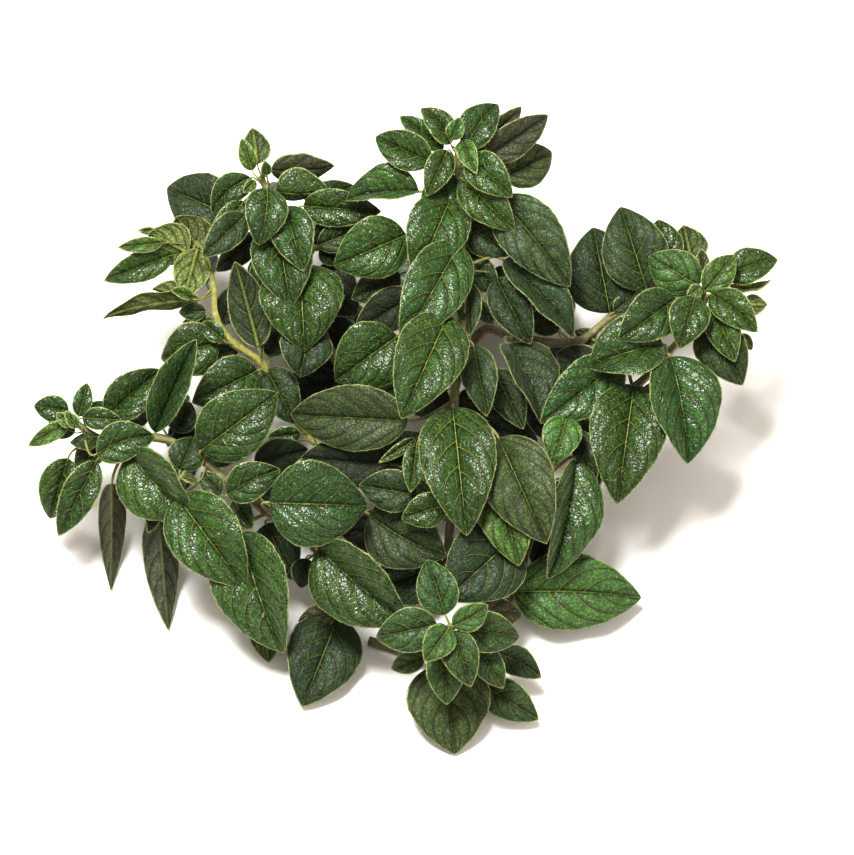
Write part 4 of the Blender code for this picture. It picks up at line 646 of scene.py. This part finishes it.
def settle(leaves, stems):
    """Lifts and lowers whole blades along the line of sight, for a fixed number of rounds, to push
    overlapping sheets apart.
    """
    views = [leaf_cells(leaf) for leaf in leaves]
    stem_views = {name: stem_cells(stem) for name, stem in stems.items()}
    rules = []
    for one in range(len(leaves)):
        for other in range(one + 1, len(leaves)):
            rule = pair_rule(views[one], views[other], leaves[one].sprig == leaves[other].sprig)
            if rule:
                clearance = OWN_CLEARANCE if leaves[one].sprig == leaves[other].sprig else CLEARANCE
                rules.append((one, other, rule[0], clearance - rule[1]))
    stem_rules = []
    for index, leaf in enumerate(leaves):
        for name, view in stem_views.items():
            if name != leaf.sprig:
                rule = pair_rule(views[index], view, False)
                if rule:
                    stem_rules.append((index, rule[0], CLEARANCE - rule[1]))
    least = [-min(leaf.rib(along).z for along in RIB_ABOVE_SURFACE) / TOWARDS_EYE.z for leaf in leaves]
    lifts = [0.0] * len(leaves)
    for _ in range(SETTLING_ROUNDS):
        for one, other, order, needed in rules:
            short = needed - order * (lifts[one] - lifts[other])
            if short > 0:
                lifts[one] += order * short / 2
                lifts[other] -= order * short / 2
        for index, order, needed in stem_rules:
            short = needed - order * lifts[index]
            if short > 0:
                lifts[index] += order * short
        for index, lowest in enumerate(least):
            lifts[index] = max(lifts[index], lowest)
    for leaf, lift in zip(leaves, lifts):
        leaf.lift = lift


class MeshParts:
    """Gathers the vertices, faces and vertex values of one mesh."""

    def __init__(self):
        self.points = []
        self.faces = []
        self.values = {}
        self.count = 0

    def add(self, points, faces, **values):
        points = np.asarray(points, float).reshape(-1, 3)
        self.points.append(points)
        self.faces.extend(face + self.count for face in faces)
        for name, value in values.items():
            value = np.asarray(value, float)
            width = value.shape[-1] if value.ndim > 1 else 1
            filled = np.empty((len(points), width))
            filled[:] = value.reshape(-1, width)
            self.values.setdefault(name, []).append(filled)
        self.count += len(points)

    def build(self, name, material):
        """One smooth object in metres that stands for its sprig's solid."""
        points = np.concatenate(self.points) * MM
        corners = np.concatenate([face.ravel() for face in self.faces])
        sizes = np.concatenate([np.full(len(face), face.shape[1]) for face in self.faces])
        mesh = bpy.data.meshes.new(name)
        mesh.vertices.add(len(points))
        mesh.vertices.foreach_set("co", points.astype(np.float32).ravel())
        mesh.loops.add(len(corners))
        mesh.loops.foreach_set("vertex_index", corners.astype(np.int32))
        mesh.polygons.add(len(sizes))
        mesh.polygons.foreach_set("loop_start", (np.cumsum(sizes) - sizes).astype(np.int32))
        mesh.polygons.foreach_set("use_smooth", np.ones(len(sizes), bool))
        for key, parts in self.values.items():
            value = np.concatenate(parts)
            kind = "FLOAT_VECTOR" if value.shape[1] == 3 else "FLOAT"
            field = "vector" if value.shape[1] == 3 else "value"
            attribute = mesh.attributes.new(key, kind, "POINT")
            attribute.data.foreach_set(field, value.astype(np.float32).ravel())
        mesh.update(calc_edges=True)
        mesh.validate()
        mesh.materials.append(material)
        return placed(name, mesh)


def closed_sheet(rows, columns):
    """The faces of a closed sheet: its upper grid of points, then its lower grid."""
    upper = np.arange(rows * columns).reshape(rows, columns)
    lower = upper + rows * columns

    def quads(*corners):
        return np.stack([corner.ravel() for corner in corners], axis=1)

    return [
        quads(upper[:-1, :-1], upper[:-1, 1:], upper[1:, 1:], upper[1:, :-1]),
        quads(lower[:-1, :-1], lower[1:, :-1], lower[1:, 1:], lower[:-1, 1:]),
        quads(upper[:-1, 0], upper[1:, 0], lower[1:, 0], lower[:-1, 0]),
        quads(upper[1:, -1], upper[:-1, -1], lower[:-1, -1], lower[1:, -1]),
        quads(upper[0, 1:], upper[0, :-1], lower[0, :-1], lower[0, 1:]),
        quads(upper[-1, :-1], upper[-1, 1:], lower[-1, 1:], lower[-1, :-1]),
    ]


def tube_faces(rings, sides):
    """The faces of a closed tube of rings, with a flat cap at each end."""
    ring = np.arange(rings * sides).reshape(rings, sides)
    ahead = np.roll(ring, -1, axis=1)
    walls = np.stack([x.ravel() for x in (ring[:-1], ahead[:-1], ahead[1:], ring[1:])], axis=1)
    return [walls, ring[:1, ::-1].copy(), ring[-1:].copy()]


def unit(rows):
    return rows / np.maximum(np.linalg.norm(rows, axis=-1, keepdims=True), 1e-9)


def varied(colour, rng):
    """A leaf's own shade of a colour: lighter or darker, and a little yellower or bluer."""
    shade = 1 + rng.uniform(-TONE_SPREAD, TONE_SPREAD)
    warmth = rng.uniform(-TONE_SPREAD, TONE_SPREAD)
    return np.array(colour) * shade * np.array([1 + warmth, 1 + warmth / 3, 1 - warmth / 2])


def blade_columns():
    half = np.array(HALF_COLUMNS)
    return np.concatenate([-half[:0:-1], half])


def blade_shape(leaf, rng):
    """The blade's middle surface, its normals, and where each point lies on the leaf."""
    rows = max(FEWEST_ROWS, math.ceil(leaf.length / ROW_PITCH))
    turn = np.linspace(0, math.pi, rows)
    along = (ROW_EASING * (1 - np.cos(turn)) / 2 + (1 - ROW_EASING) * turn / math.pi)[:, None]
    across = blade_columns()[None, :]
    reach = np.abs(across)

    base, tip = np.array(leaf.base), np.array(leaf.tip)
    middle = (base + tip) / 2 + np.array(leaf.bow)
    a = along[..., None]
    rib = base * (1 - a) ** 2 + middle * (2 * a * (1 - a)) + tip * a ** 2 + np.array(TOWARDS_EYE * leaf.lift)

    inner = np.clip(along, 1e-6, 1 - 1e-6)
    power = TIP_ROUNDNESS * WIDEST_AT / (1 - WIDEST_AT)
    half = leaf.width / 2 * (inner / WIDEST_AT) ** power * ((1 - inner) / (1 - WIDEST_AT)) ** TIP_ROUNDNESS
    foot = STALK_RADIUS * (1 - along) ** FOOT_FADE
    half = np.sqrt(half ** 2 + foot ** 2 + LEAST_HALF_WIDTH ** 2)
    turns = along * leaf.length
    notches = np.sin(turns * NOTCH_RATES[0] + rng.uniform(0, FULL_TURN))
    notches = notches + np.sin(turns * NOTCH_RATES[1] + across + rng.uniform(0, FULL_TURN))
    notches = 1 + EDGE_NOTCHES * notches * reach ** 4
    sideways = half * reach * notches

    laterals = min(MOST_LATERALS, max(FEWEST_LATERALS, round(leaf.length / LATERAL_SPACING)))
    shift = 0.5 * (across > 0) * rng.uniform(0.2, 1.0)
    lead = (LATERAL_SLOPE * reach + LATERAL_SWEEP * reach ** LATERAL_BEND) * leaf.width / leaf.length / 2
    phase = laterals * (along - lead) + shift + LATERAL_OFFSET
    valley = np.abs(np.sin(math.pi * phase)) ** VALLEY_SHARPNESS
    envelope = np.sin(math.pi * np.clip(along, 0, 1)) ** 0.5 * (1 - reach ** 3) * reach ** 0.3

    soft_reach = np.sqrt(reach ** 2 + RIB_SOFTNESS ** 2) - RIB_SOFTNESS
    fold_rise = math.sin(leaf.fold) * half * soft_reach
    bulge = BULGE * half * 4 * reach * (1 - reach)
    pillow = PILLOW * leaf.width / 2 * valley * envelope
    wave_count = rng.uniform(*WAVE_COUNTS)
    starts = np.where(across > 0, rng.uniform(0, FULL_TURN), rng.uniform(0, FULL_TURN))
    wave = WAVE * leaf.length * reach ** 2 * np.sin(2 * math.pi * wave_count * along + starts)
    wave = wave * np.sin(math.pi * along)
    droop = -TIP_DROOP * leaf.length * np.clip((along - DROOP_START) / (1 - DROOP_START), 0, 1) ** 2
    groove = -RIB_GROOVE * np.exp(-(half * reach / RIB_REACH) ** 2) * (1 - along) ** 0.3
    rise = fold_rise + bulge + pillow + wave + droop + groove

    side, normal = np.array(leaf.side), np.array(leaf.normal)
    sideways = np.sign(across) * sideways * math.cos(leaf.fold)
    sheet = rib + sideways[..., None] * side + rise[..., None] * normal
    normals = unit(np.cross(np.gradient(sheet, axis=1), np.gradient(sheet, axis=0)))
    from_edge = half * (1 - reach)
    place = np.stack(np.broadcast_arrays(phase, np.sign(across) * half * reach, from_edge), axis=-1)
    return sheet, normals, place, along, reach, half, valley


def add_blade(leaf, parts, rng):
    """Adds a closed blade: veins sunk in its upper side and raised on its underside."""
    sheet, normals, place, along, reach, half, valley = blade_shape(leaf, rng)
    rows, columns = sheet.shape[:2]
    thick = THICKNESS + (EDGE_THICKNESS - THICKNESS) * reach ** 6
    ridge = RIB_RIDGE * np.exp(-(half * reach / RIB_REACH) ** 2) * (1 - along) ** 0.5
    ridge = ridge + LATERAL_RIDGE * np.clip(1 - valley * VALLEY_NARROWING, 0, 1) * (1 - reach ** 2)
    upper = sheet + normals * (thick / 2)[..., None]
    lower = sheet - normals * (thick / 2 + ridge)[..., None]
    points = np.stack([upper, lower])
    lowest = np.stack(np.broadcast_arrays(thick + ABOVE_FLOOR, ABOVE_FLOOR))
    points[..., 2] = np.maximum(points[..., 2], lowest)
    seed = rng.uniform(0, 100)
    spot = np.stack(np.broadcast_arrays(along * leaf.length, place[..., 1], seed), axis=-1)
    tones = [varied(UPPER[leaf.look], rng), varied(LOWER.get(leaf.look, USUAL_LOWER), rng)]
    count = rows * columns
    dullness = DULLNESS.get(leaf.look, 0) + SPRIG_DULLNESS.get(leaf.sprig, 0)
    clarity = VEIN_CLARITY[leaf.look] * rng.uniform(1 - CLARITY_SPREAD, 1 + CLARITY_SPREAD)
    clarity = clarity * (1 - CLARITY_LOSS_AT_TIP * np.tile(np.repeat(along, columns), 2))
    parts.add(points, closed_sheet(rows, columns),
              place=np.tile(place.reshape(-1, 3), (2, 1)),
              spot=np.tile(spot.reshape(-1, 3), (2, 1)),
              tone=np.repeat(tones, count, axis=0),
              dullness=dullness,
              clarity=clarity,
              underside=np.repeat([0.0, 1.0], count))
    return sheet


def add_tube(parts, path, radii, sides, squareness, facing, **values):
    """Adds a closed tube along a path; squareness 0 is round and 1 is square."""
    heading = unit(np.gradient(path, axis=0))
    level = unit(np.cross(heading, facing))
    upright = np.cross(level, heading)
    angle = 2 * math.pi * np.arange(sides) / sides + math.pi / 4
    corner = 1 / np.maximum(np.abs(np.cos(angle)), np.abs(np.sin(angle)))
    reach = 1 + squareness * (corner - 1) * CORNER_REACH
    sideways, above = (np.cos(angle) * reach)[:, None], (np.sin(angle) * reach)[:, None]
    ring = level[:, None] * sideways + upright[:, None] * above
    points = path[:, None] + ring * np.asarray(radii)[:, None, None]
    points[..., 2] = np.maximum(points[..., 2], ABOVE_FLOOR)
    steps = np.concatenate([[0], np.cumsum(np.linalg.norm(np.diff(path, axis=0), axis=1))])
    spot = np.stack(np.broadcast_arrays(steps[:, None], np.arange(sides)[None, :] * 1.0, 0.0), axis=-1)
    parts.add(points, tube_faces(len(path), sides), spot=spot.reshape(-1, 3), **values)


def stalk_path(leaf):
    """From the middle of the stem to the foot of the blade, leaving it along its rib."""
    foot = np.array(leaf.rib(0))
    root = np.array(leaf.root)
    start = unit(np.array(leaf.rib(0.06)) - foot)
    run = foot - root
    length = np.linalg.norm(run)
    bend = STALK_BEND * length
    first, last = root + unit(run) * bend, foot - start * bend
    t = np.linspace(0, 1, max(6, round(length / STALK_STEP)))[:, None]
    return root * (1 - t) ** 3 + first * 3 * t * (1 - t) ** 2 + last * 3 * t ** 2 * (1 - t) + foot * t ** 3


def add_stalk(leaf, parts, rng):
    path = stalk_path(leaf)
    slim = np.clip(leaf.width / FULL_STALK_WIDTH, LEAST_STALK_SHARE, 1)
    radii = np.linspace(STALK_RADIUS * STALK_FLARE, STALK_RADIUS * STALK_NARROWING, len(path)) * slim
    tone = varied(STALK_COLOUR, rng)
    add_tube(parts, path, radii, STALK_SIDES, 0, np.array(leaf.normal), tone=tone[None, :])
    return path


def stem_path(stem):
    """A smooth line through a stem's nodes, with its thickness swollen at each node."""
    knots = np.array([seen(*node[:3]) for node in stem])
    widths = np.array([node[3] for node in stem])
    padded = np.concatenate([[2 * knots[0] - knots[1]], knots, [2 * knots[-1] - knots[-2]]])
    path, radii = [], []
    for index in range(len(knots) - 1):
        before, start, end, after = padded[index:index + 4]
        steps = max(4, math.ceil(np.linalg.norm(end - start) / STEM_STEP))
        for t in np.arange(steps) / steps:
            curve = 2 * start + (end - before) * t + (2 * before - 5 * start + 4 * end - after) * t ** 2
            curve = (curve + (3 * start - before - 3 * end + after) * t ** 3) / 2
            path.append(curve)
            radii.append(widths[index] * (1 - t) + widths[index + 1] * t)
    path.append(knots[-1])
    radii.append(widths[-1] * STEM_END_NARROWING)
    path = np.array(path)
    near = np.linalg.norm(path[:, None] - knots[None, 1:], axis=2).min(axis=1)
    swelling = 1 + NODE_SWELLING * np.exp(-(near / NODE_REACH) ** 2)
    return path, np.array(radii) / 2 * STEM_SLIMMING * swelling


def add_hairs(parts, roots, directions, rng):
    """Adds a fine three-sided hair at each root."""
    if not len(roots):
        return
    count = len(roots)
    directions = unit(directions + rng.normal(0, HAIR_SPREAD, (count, 3)))
    lengths = rng.uniform(*HAIR_LENGTHS, count)[:, None]
    first = unit(np.cross(directions, rng.normal(0, 1, (count, 3))))
    second = np.cross(directions, first)
    corners = [roots + HAIR_RADIUS * (first * math.cos(a) + second * math.sin(a)) for a in HAIR_CORNERS]
    points = np.stack([*corners, roots + directions * lengths], axis=1)
    points[..., 2] = np.maximum(points[..., 2], ABOVE_FLOOR)
    start = np.arange(count)[:, None] * 4
    sides = ((0, 1, 3), (1, 2, 3), (2, 0, 3), (0, 2, 1))
    faces = np.concatenate([start + np.array(side) for side in sides])
    parts.add(points, [faces])


def scattered(line, per_mm, rng):
    """Random places along a line: each one's row number, the row before it, and its point."""
    lengths = np.linalg.norm(np.diff(line, axis=0), axis=1)
    spots = rng.uniform(0, lengths.sum(), int(lengths.sum() * per_mm))
    along = np.interp(spots, np.concatenate([[0], np.cumsum(lengths)]), np.arange(len(line)))
    low = np.minimum(along.astype(int), len(line) - 2)
    share = (along - low)[:, None]
    return along, low, line[low] * (1 - share) + line[low + 1] * share


def edge_hairs(sheet, parts, rng):
    """Hairs round a blade's edge, pointing outward in its plane."""
    for column, inner in ((0, 2), (-1, -3)):
        edge = sheet[:, column]
        along, low, roots = scattered(edge, EDGE_HAIRS_PER_MM, rng)
        order = np.argsort(along, kind="stable")
        add_hairs(parts, roots[order], unit(edge - sheet[:, inner])[low[order]], rng)


def tube_hairs(path, radii, per_mm, parts, rng):
    """Hairs that stand out from a stem or a stalk."""
    along, low, centres = scattered(path, per_mm, rng)
    if not len(along):
        return
    heading = unit(path[low + 1] - path[low])
    outward = unit(np.cross(heading, rng.normal(0, 1, (len(along), 3))))
    depths = np.interp(along, np.arange(len(path)), radii)[:, None] * HAIR_ROOT_DEPTH
    add_hairs(parts, centres + outward * depths, outward, rng)


class Shader:
    """A material: each call adds a node and returns its output."""

    def __init__(self, name, roughness, **constants):
        self.material = bpy.data.materials.new(name)
        self.material.use_nodes = True
        self.tree = self.material.node_tree
        self.surface = self.tree.nodes["Principled BSDF"]
        self.surface.inputs["Roughness"].default_value = roughness
        for key, value in constants.items():
            self.surface.inputs[key.replace("_", " ")].default_value = value

    def new(self, kind):
        return self.tree.nodes.new("ShaderNode" + kind)

    def put(self, socket, value):
        if isinstance(value, bpy.types.NodeSocket):
            self.tree.links.new(value, socket)
        else:
            socket.default_value = value

    def attribute(self, name, output="Vector"):
        node = self.new("Attribute")
        node.attribute_name = name
        return node.outputs[output]

    def split(self, vector):
        node = self.new("SeparateXYZ")
        self.put(node.inputs[0], vector)
        return node.outputs

    def math(self, operation, *values):
        node = self.new("Math")
        node.operation = operation
        for socket, value in zip(node.inputs, values):
            self.put(socket, value)
        return node.outputs[0]

    def times(self, first, second):
        return self.math("MULTIPLY", first, second)

    def plus(self, first, second):
        return self.math("ADD", first, second)

    def ramp(self, value, low, high, start, end):
        """A smooth step of value from low to high, giving start to end."""
        node = self.new("MapRange")
        node.interpolation_type = "SMOOTHSTEP"
        for socket, given in zip(node.inputs, (value, low, high, start, end)):
            self.put(socket, given)
        return node.outputs[0]

    def mix(self, share, first, second, blend="MIX"):
        node = self.new("Mix")
        node.data_type = "RGBA"
        node.blend_type = blend
        self.put(node.inputs[0], share)
        self.put(node.inputs[6], first)
        self.put(node.inputs[7], second)
        return node.outputs[2]

    def noise(self, vector, scale, detail):
        node = self.new("TexNoise")
        self.put(node.inputs["Vector"], vector)
        self.put(node.inputs["Scale"], scale)
        self.put(node.inputs["Detail"], detail)
        return node.outputs["Fac"]

    def cells(self, vector, scale, feature):
        """How far a point is from the edge or the middle of its own irregular cell."""
        node = self.new("TexVoronoi")
        node.feature = feature
        self.put(node.inputs["Vector"], vector)
        self.put(node.inputs["Scale"], scale)
        if feature == "SMOOTH_F1":
            self.put(node.inputs["Smoothness"], DOME_SMOOTHNESS)
        return node.outputs["Distance"]

    def bump(self, height, distance):
        node = self.new("Bump")
        self.put(node.inputs["Distance"], distance)
        self.put(node.inputs["Height"], height)
        self.tree.links.new(node.outputs[0], self.surface.inputs["Normal"])

    def colour(self, value):
        self.put(self.surface.inputs["Base Color"], value)


def blade_material():
    """Dark green with a pale rib, side veins and net, a pale edge, painted shade and light on its quilted
    relief, and a broken gloss.
    """
    shader = Shader("oregano_blade", BLADE_ROUGHNESS, Sheen_Weight=0.03, Sheen_Roughness=0.4,
                    Specular_IOR_Level=0.5)
    phase, from_rib, from_edge = shader.split(shader.attribute("place"))
    spot = shader.attribute("spot")
    off_rib = shader.math("ABSOLUTE", from_rib)
    rib = shader.ramp(off_rib, *RIB_BAND, 1, 0)
    lateral = shader.ramp(shader.math("PINGPONG", phase, 0.5), 0, LATERAL_BAND, 1, 0)
    net = shader.ramp(shader.cells(spot, NET_SCALE, "DISTANCE_TO_EDGE"), 0, NET_BAND, 1, 0)
    domes = shader.cells(spot, DOME_SCALE, "SMOOTH_F1")
    mottle = shader.noise(spot, *MOTTLE_NOISE)
    speckle = shader.noise(spot, *SPECKLE_NOISE)

    # The mottle is the blade's own uneven tone. The rest is painted shade and light: darker between the
    # domes, just past each side vein and beside the rib, and lighter on the rises.
    shade = shader.times(shader.ramp(mottle, *MOTTLE_SHADE), shader.ramp(domes, *DOME_PAINTED_SHADE))
    shade = shader.times(shade, shader.ramp(shader.math("FRACT", phase), *AFTER_VEIN_PAINTED_SHADE))
    shade = shader.times(shade, shader.ramp(off_rib, *BESIDE_RIB_PAINTED_SHADE))
    shaded = shader.mix(1, shader.attribute("tone"), shade, "MULTIPLY")
    veins = shader.math("MAXIMUM", rib, shader.times(lateral, LATERAL_SHARE))
    pale = shader.math("MAXIMUM", veins, shader.times(net, NET_SHARE))
    pale = shader.times(pale, shader.attribute("clarity", "Fac"))
    veined = shader.mix(pale, shaded, VEIN_COLOUR)
    hairy = shader.times(shader.ramp(from_edge, *EDGE_BAND, 1, 0), shader.ramp(speckle, *EDGE_BREAKS))
    edged = shader.mix(hairy, veined, EDGE_COLOUR)
    shader.colour(shader.mix(shader.ramp(from_edge, 0, EDGE_BAND[0], RIM_SHARE, 0), edged, RIM_COLOUR))

    duller = shader.times(shader.attribute("underside", "Fac"), UNDERSIDE_DULLNESS)
    gloss = shader.plus(shader.ramp(speckle, *GLOSS_BREAKS), duller)
    gloss = shader.plus(gloss, shader.attribute("dullness", "Fac"))
    shader.put(shader.surface.inputs["Roughness"], gloss)
    height = shader.plus(shader.times(net, NET_HEIGHT), shader.times(lateral, LATERAL_HEIGHT))
    height = shader.plus(height, shader.times(domes, DOME_HEIGHT))
    height = shader.plus(height, shader.times(speckle, SPECKLE_HEIGHT))
    shader.bump(height, BLADE_BUMP)
    return shader.material


def stem_material(name):
    """Streaked along its length, and matt with short hairs."""
    shader = Shader(name, STEM_ROUGHNESS, Sheen_Weight=0.2)
    streaks = shader.noise(shader.attribute("spot"), *STREAK_NOISE)
    shade = shader.ramp(streaks, *STREAK_SHADE)
    shader.colour(shader.mix(1, shader.attribute("tone"), shade, "MULTIPLY"))
    shader.bump(streaks, STEM_BUMP)
    return shader.material


def build_sprig(sprig, stem, leaves, materials):
    """Makes a sprig's blades, stalks, stem and hairs, each standing for its solid."""
    parts = {kind: MeshParts() for kind in ("blades", "stalks", "stem", "hairs")}
    path, radii = stem_path(stem)
    colour = np.array(STEM_COLOURS.get(sprig, USUAL_STEM))
    fresh = np.linspace(0, 1, len(path))[:, None] ** STEM_GREENING
    tones = colour * (1 - fresh) + np.array(STALK_COLOUR) * fresh
    add_tube(parts["stem"], path, radii, STEM_SIDES, 1.0, np.array([0, 0, 1.0]),
             tone=np.repeat(tones, STEM_SIDES, axis=0))
    for index, leaf in enumerate(leaves):
        rng = np.random.default_rng(FIRST_SEED + index * 7 + len(sprig) * 131)
        sheet = add_blade(leaf, parts["blades"], rng)
        stalk = add_stalk(leaf, parts["stalks"], rng)
        edge_hairs(sheet, parts["hairs"], rng)
        radius = STALK_RADIUS * STALK_NARROWING
        tube_hairs(stalk, np.full(len(stalk), radius), STALK_HAIRS_PER_MM, parts["hairs"], rng)
    tube_hairs(path, radii, STEM_HAIRS_PER_MM, parts["hairs"], np.random.default_rng(len(sprig)))
    for kind, part in parts.items():
        piece = part.build(f"{sprig}_{kind}", materials[kind])
        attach(piece, "root")
        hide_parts(sprig)


def placed(name, data):
    made = bpy.data.objects.new(name, data)
    bpy.context.scene.collection.objects.link(made)
    return made


def make_floor():
    mesh = bpy.data.meshes.new("floor")
    corners = [(x * FLOOR_REACH, y * FLOOR_REACH, 0) for x, y in ((-1, -1), (1, -1), (1, 1), (-1, 1))]
    mesh.from_pydata(corners, [], [(0, 1, 2, 3)])
    floor = placed("floor", mesh)
    mesh.materials.append(Shader("floor", FLOOR_ROUGHNESS, Base_Color=FLOOR_COLOUR).material)


def add_light(name, position, size, power, colour=(1, 1, 1)):
    """A soft square light that looks at the bundle."""
    lamp = bpy.data.lights.new(name, "AREA")
    lamp.shape = "SQUARE"
    lamp.size = size
    lamp.energy = power
    lamp.color = colour
    made = placed(name, lamp)
    made.location = position
    made.rotation_euler = (-Vector(position)).to_track_quat("-Z", "Y").to_euler()
    made.visible_camera = False


def make_light():
    world = bpy.data.worlds.new("studio")
    world.use_nodes = True
    background = world.node_tree.nodes["Background"]
    background.inputs["Color"].default_value = WORLD_COLOUR
    background.inputs["Strength"].default_value = WORLD_STRENGTH
    bpy.context.scene.world = world
    add_light("key", KEY_POSITION, KEY_SIZE, KEY_POWER)
    add_light("fill", FILL_POSITION, FILL_SIZE, FILL_POWER, FILL_COLOUR)
    bpy.context.scene.view_settings.view_transform = "Standard"
    bpy.context.scene.view_settings.gamma = VIEW_GAMMA


def make_camera():
    """Looks down on the bundle as the photograph does, through a long lens."""
    data = bpy.data.cameras.new("camera")
    data.sensor_width = 36
    data.lens = data.sensor_width * CAMERA_DISTANCE / VIEW_WIDTH
    data.clip_end = 50
    camera = placed("camera", data)
    camera.location = seen(*CAMERA_AIM) * MM + TOWARDS_EYE * CAMERA_DISTANCE
    camera.rotation_euler = (math.pi / 2 - VIEW_ELEVATION, 0, 0)
    bpy.context.scene.camera = camera


def main():
    leaves = place_leaves()
    settle(leaves, {name: stem for name, (stem, _) in SPRIGS.items()})
    materials = {
        "blades": blade_material(),
        "stalks": stem_material("oregano_stalk"),
        "stem": stem_material("oregano_stem"),
        "hairs": Shader("oregano_hair", STEM_ROUGHNESS, Base_Color=HAIR_COLOUR).material,
    }
    for sprig, (stem, _) in SPRIGS.items():
        build_sprig(sprig, stem, [leaf for leaf in leaves if leaf.sprig == sprig], materials)
    make_floor()
    make_light()
    make_camera()


main()
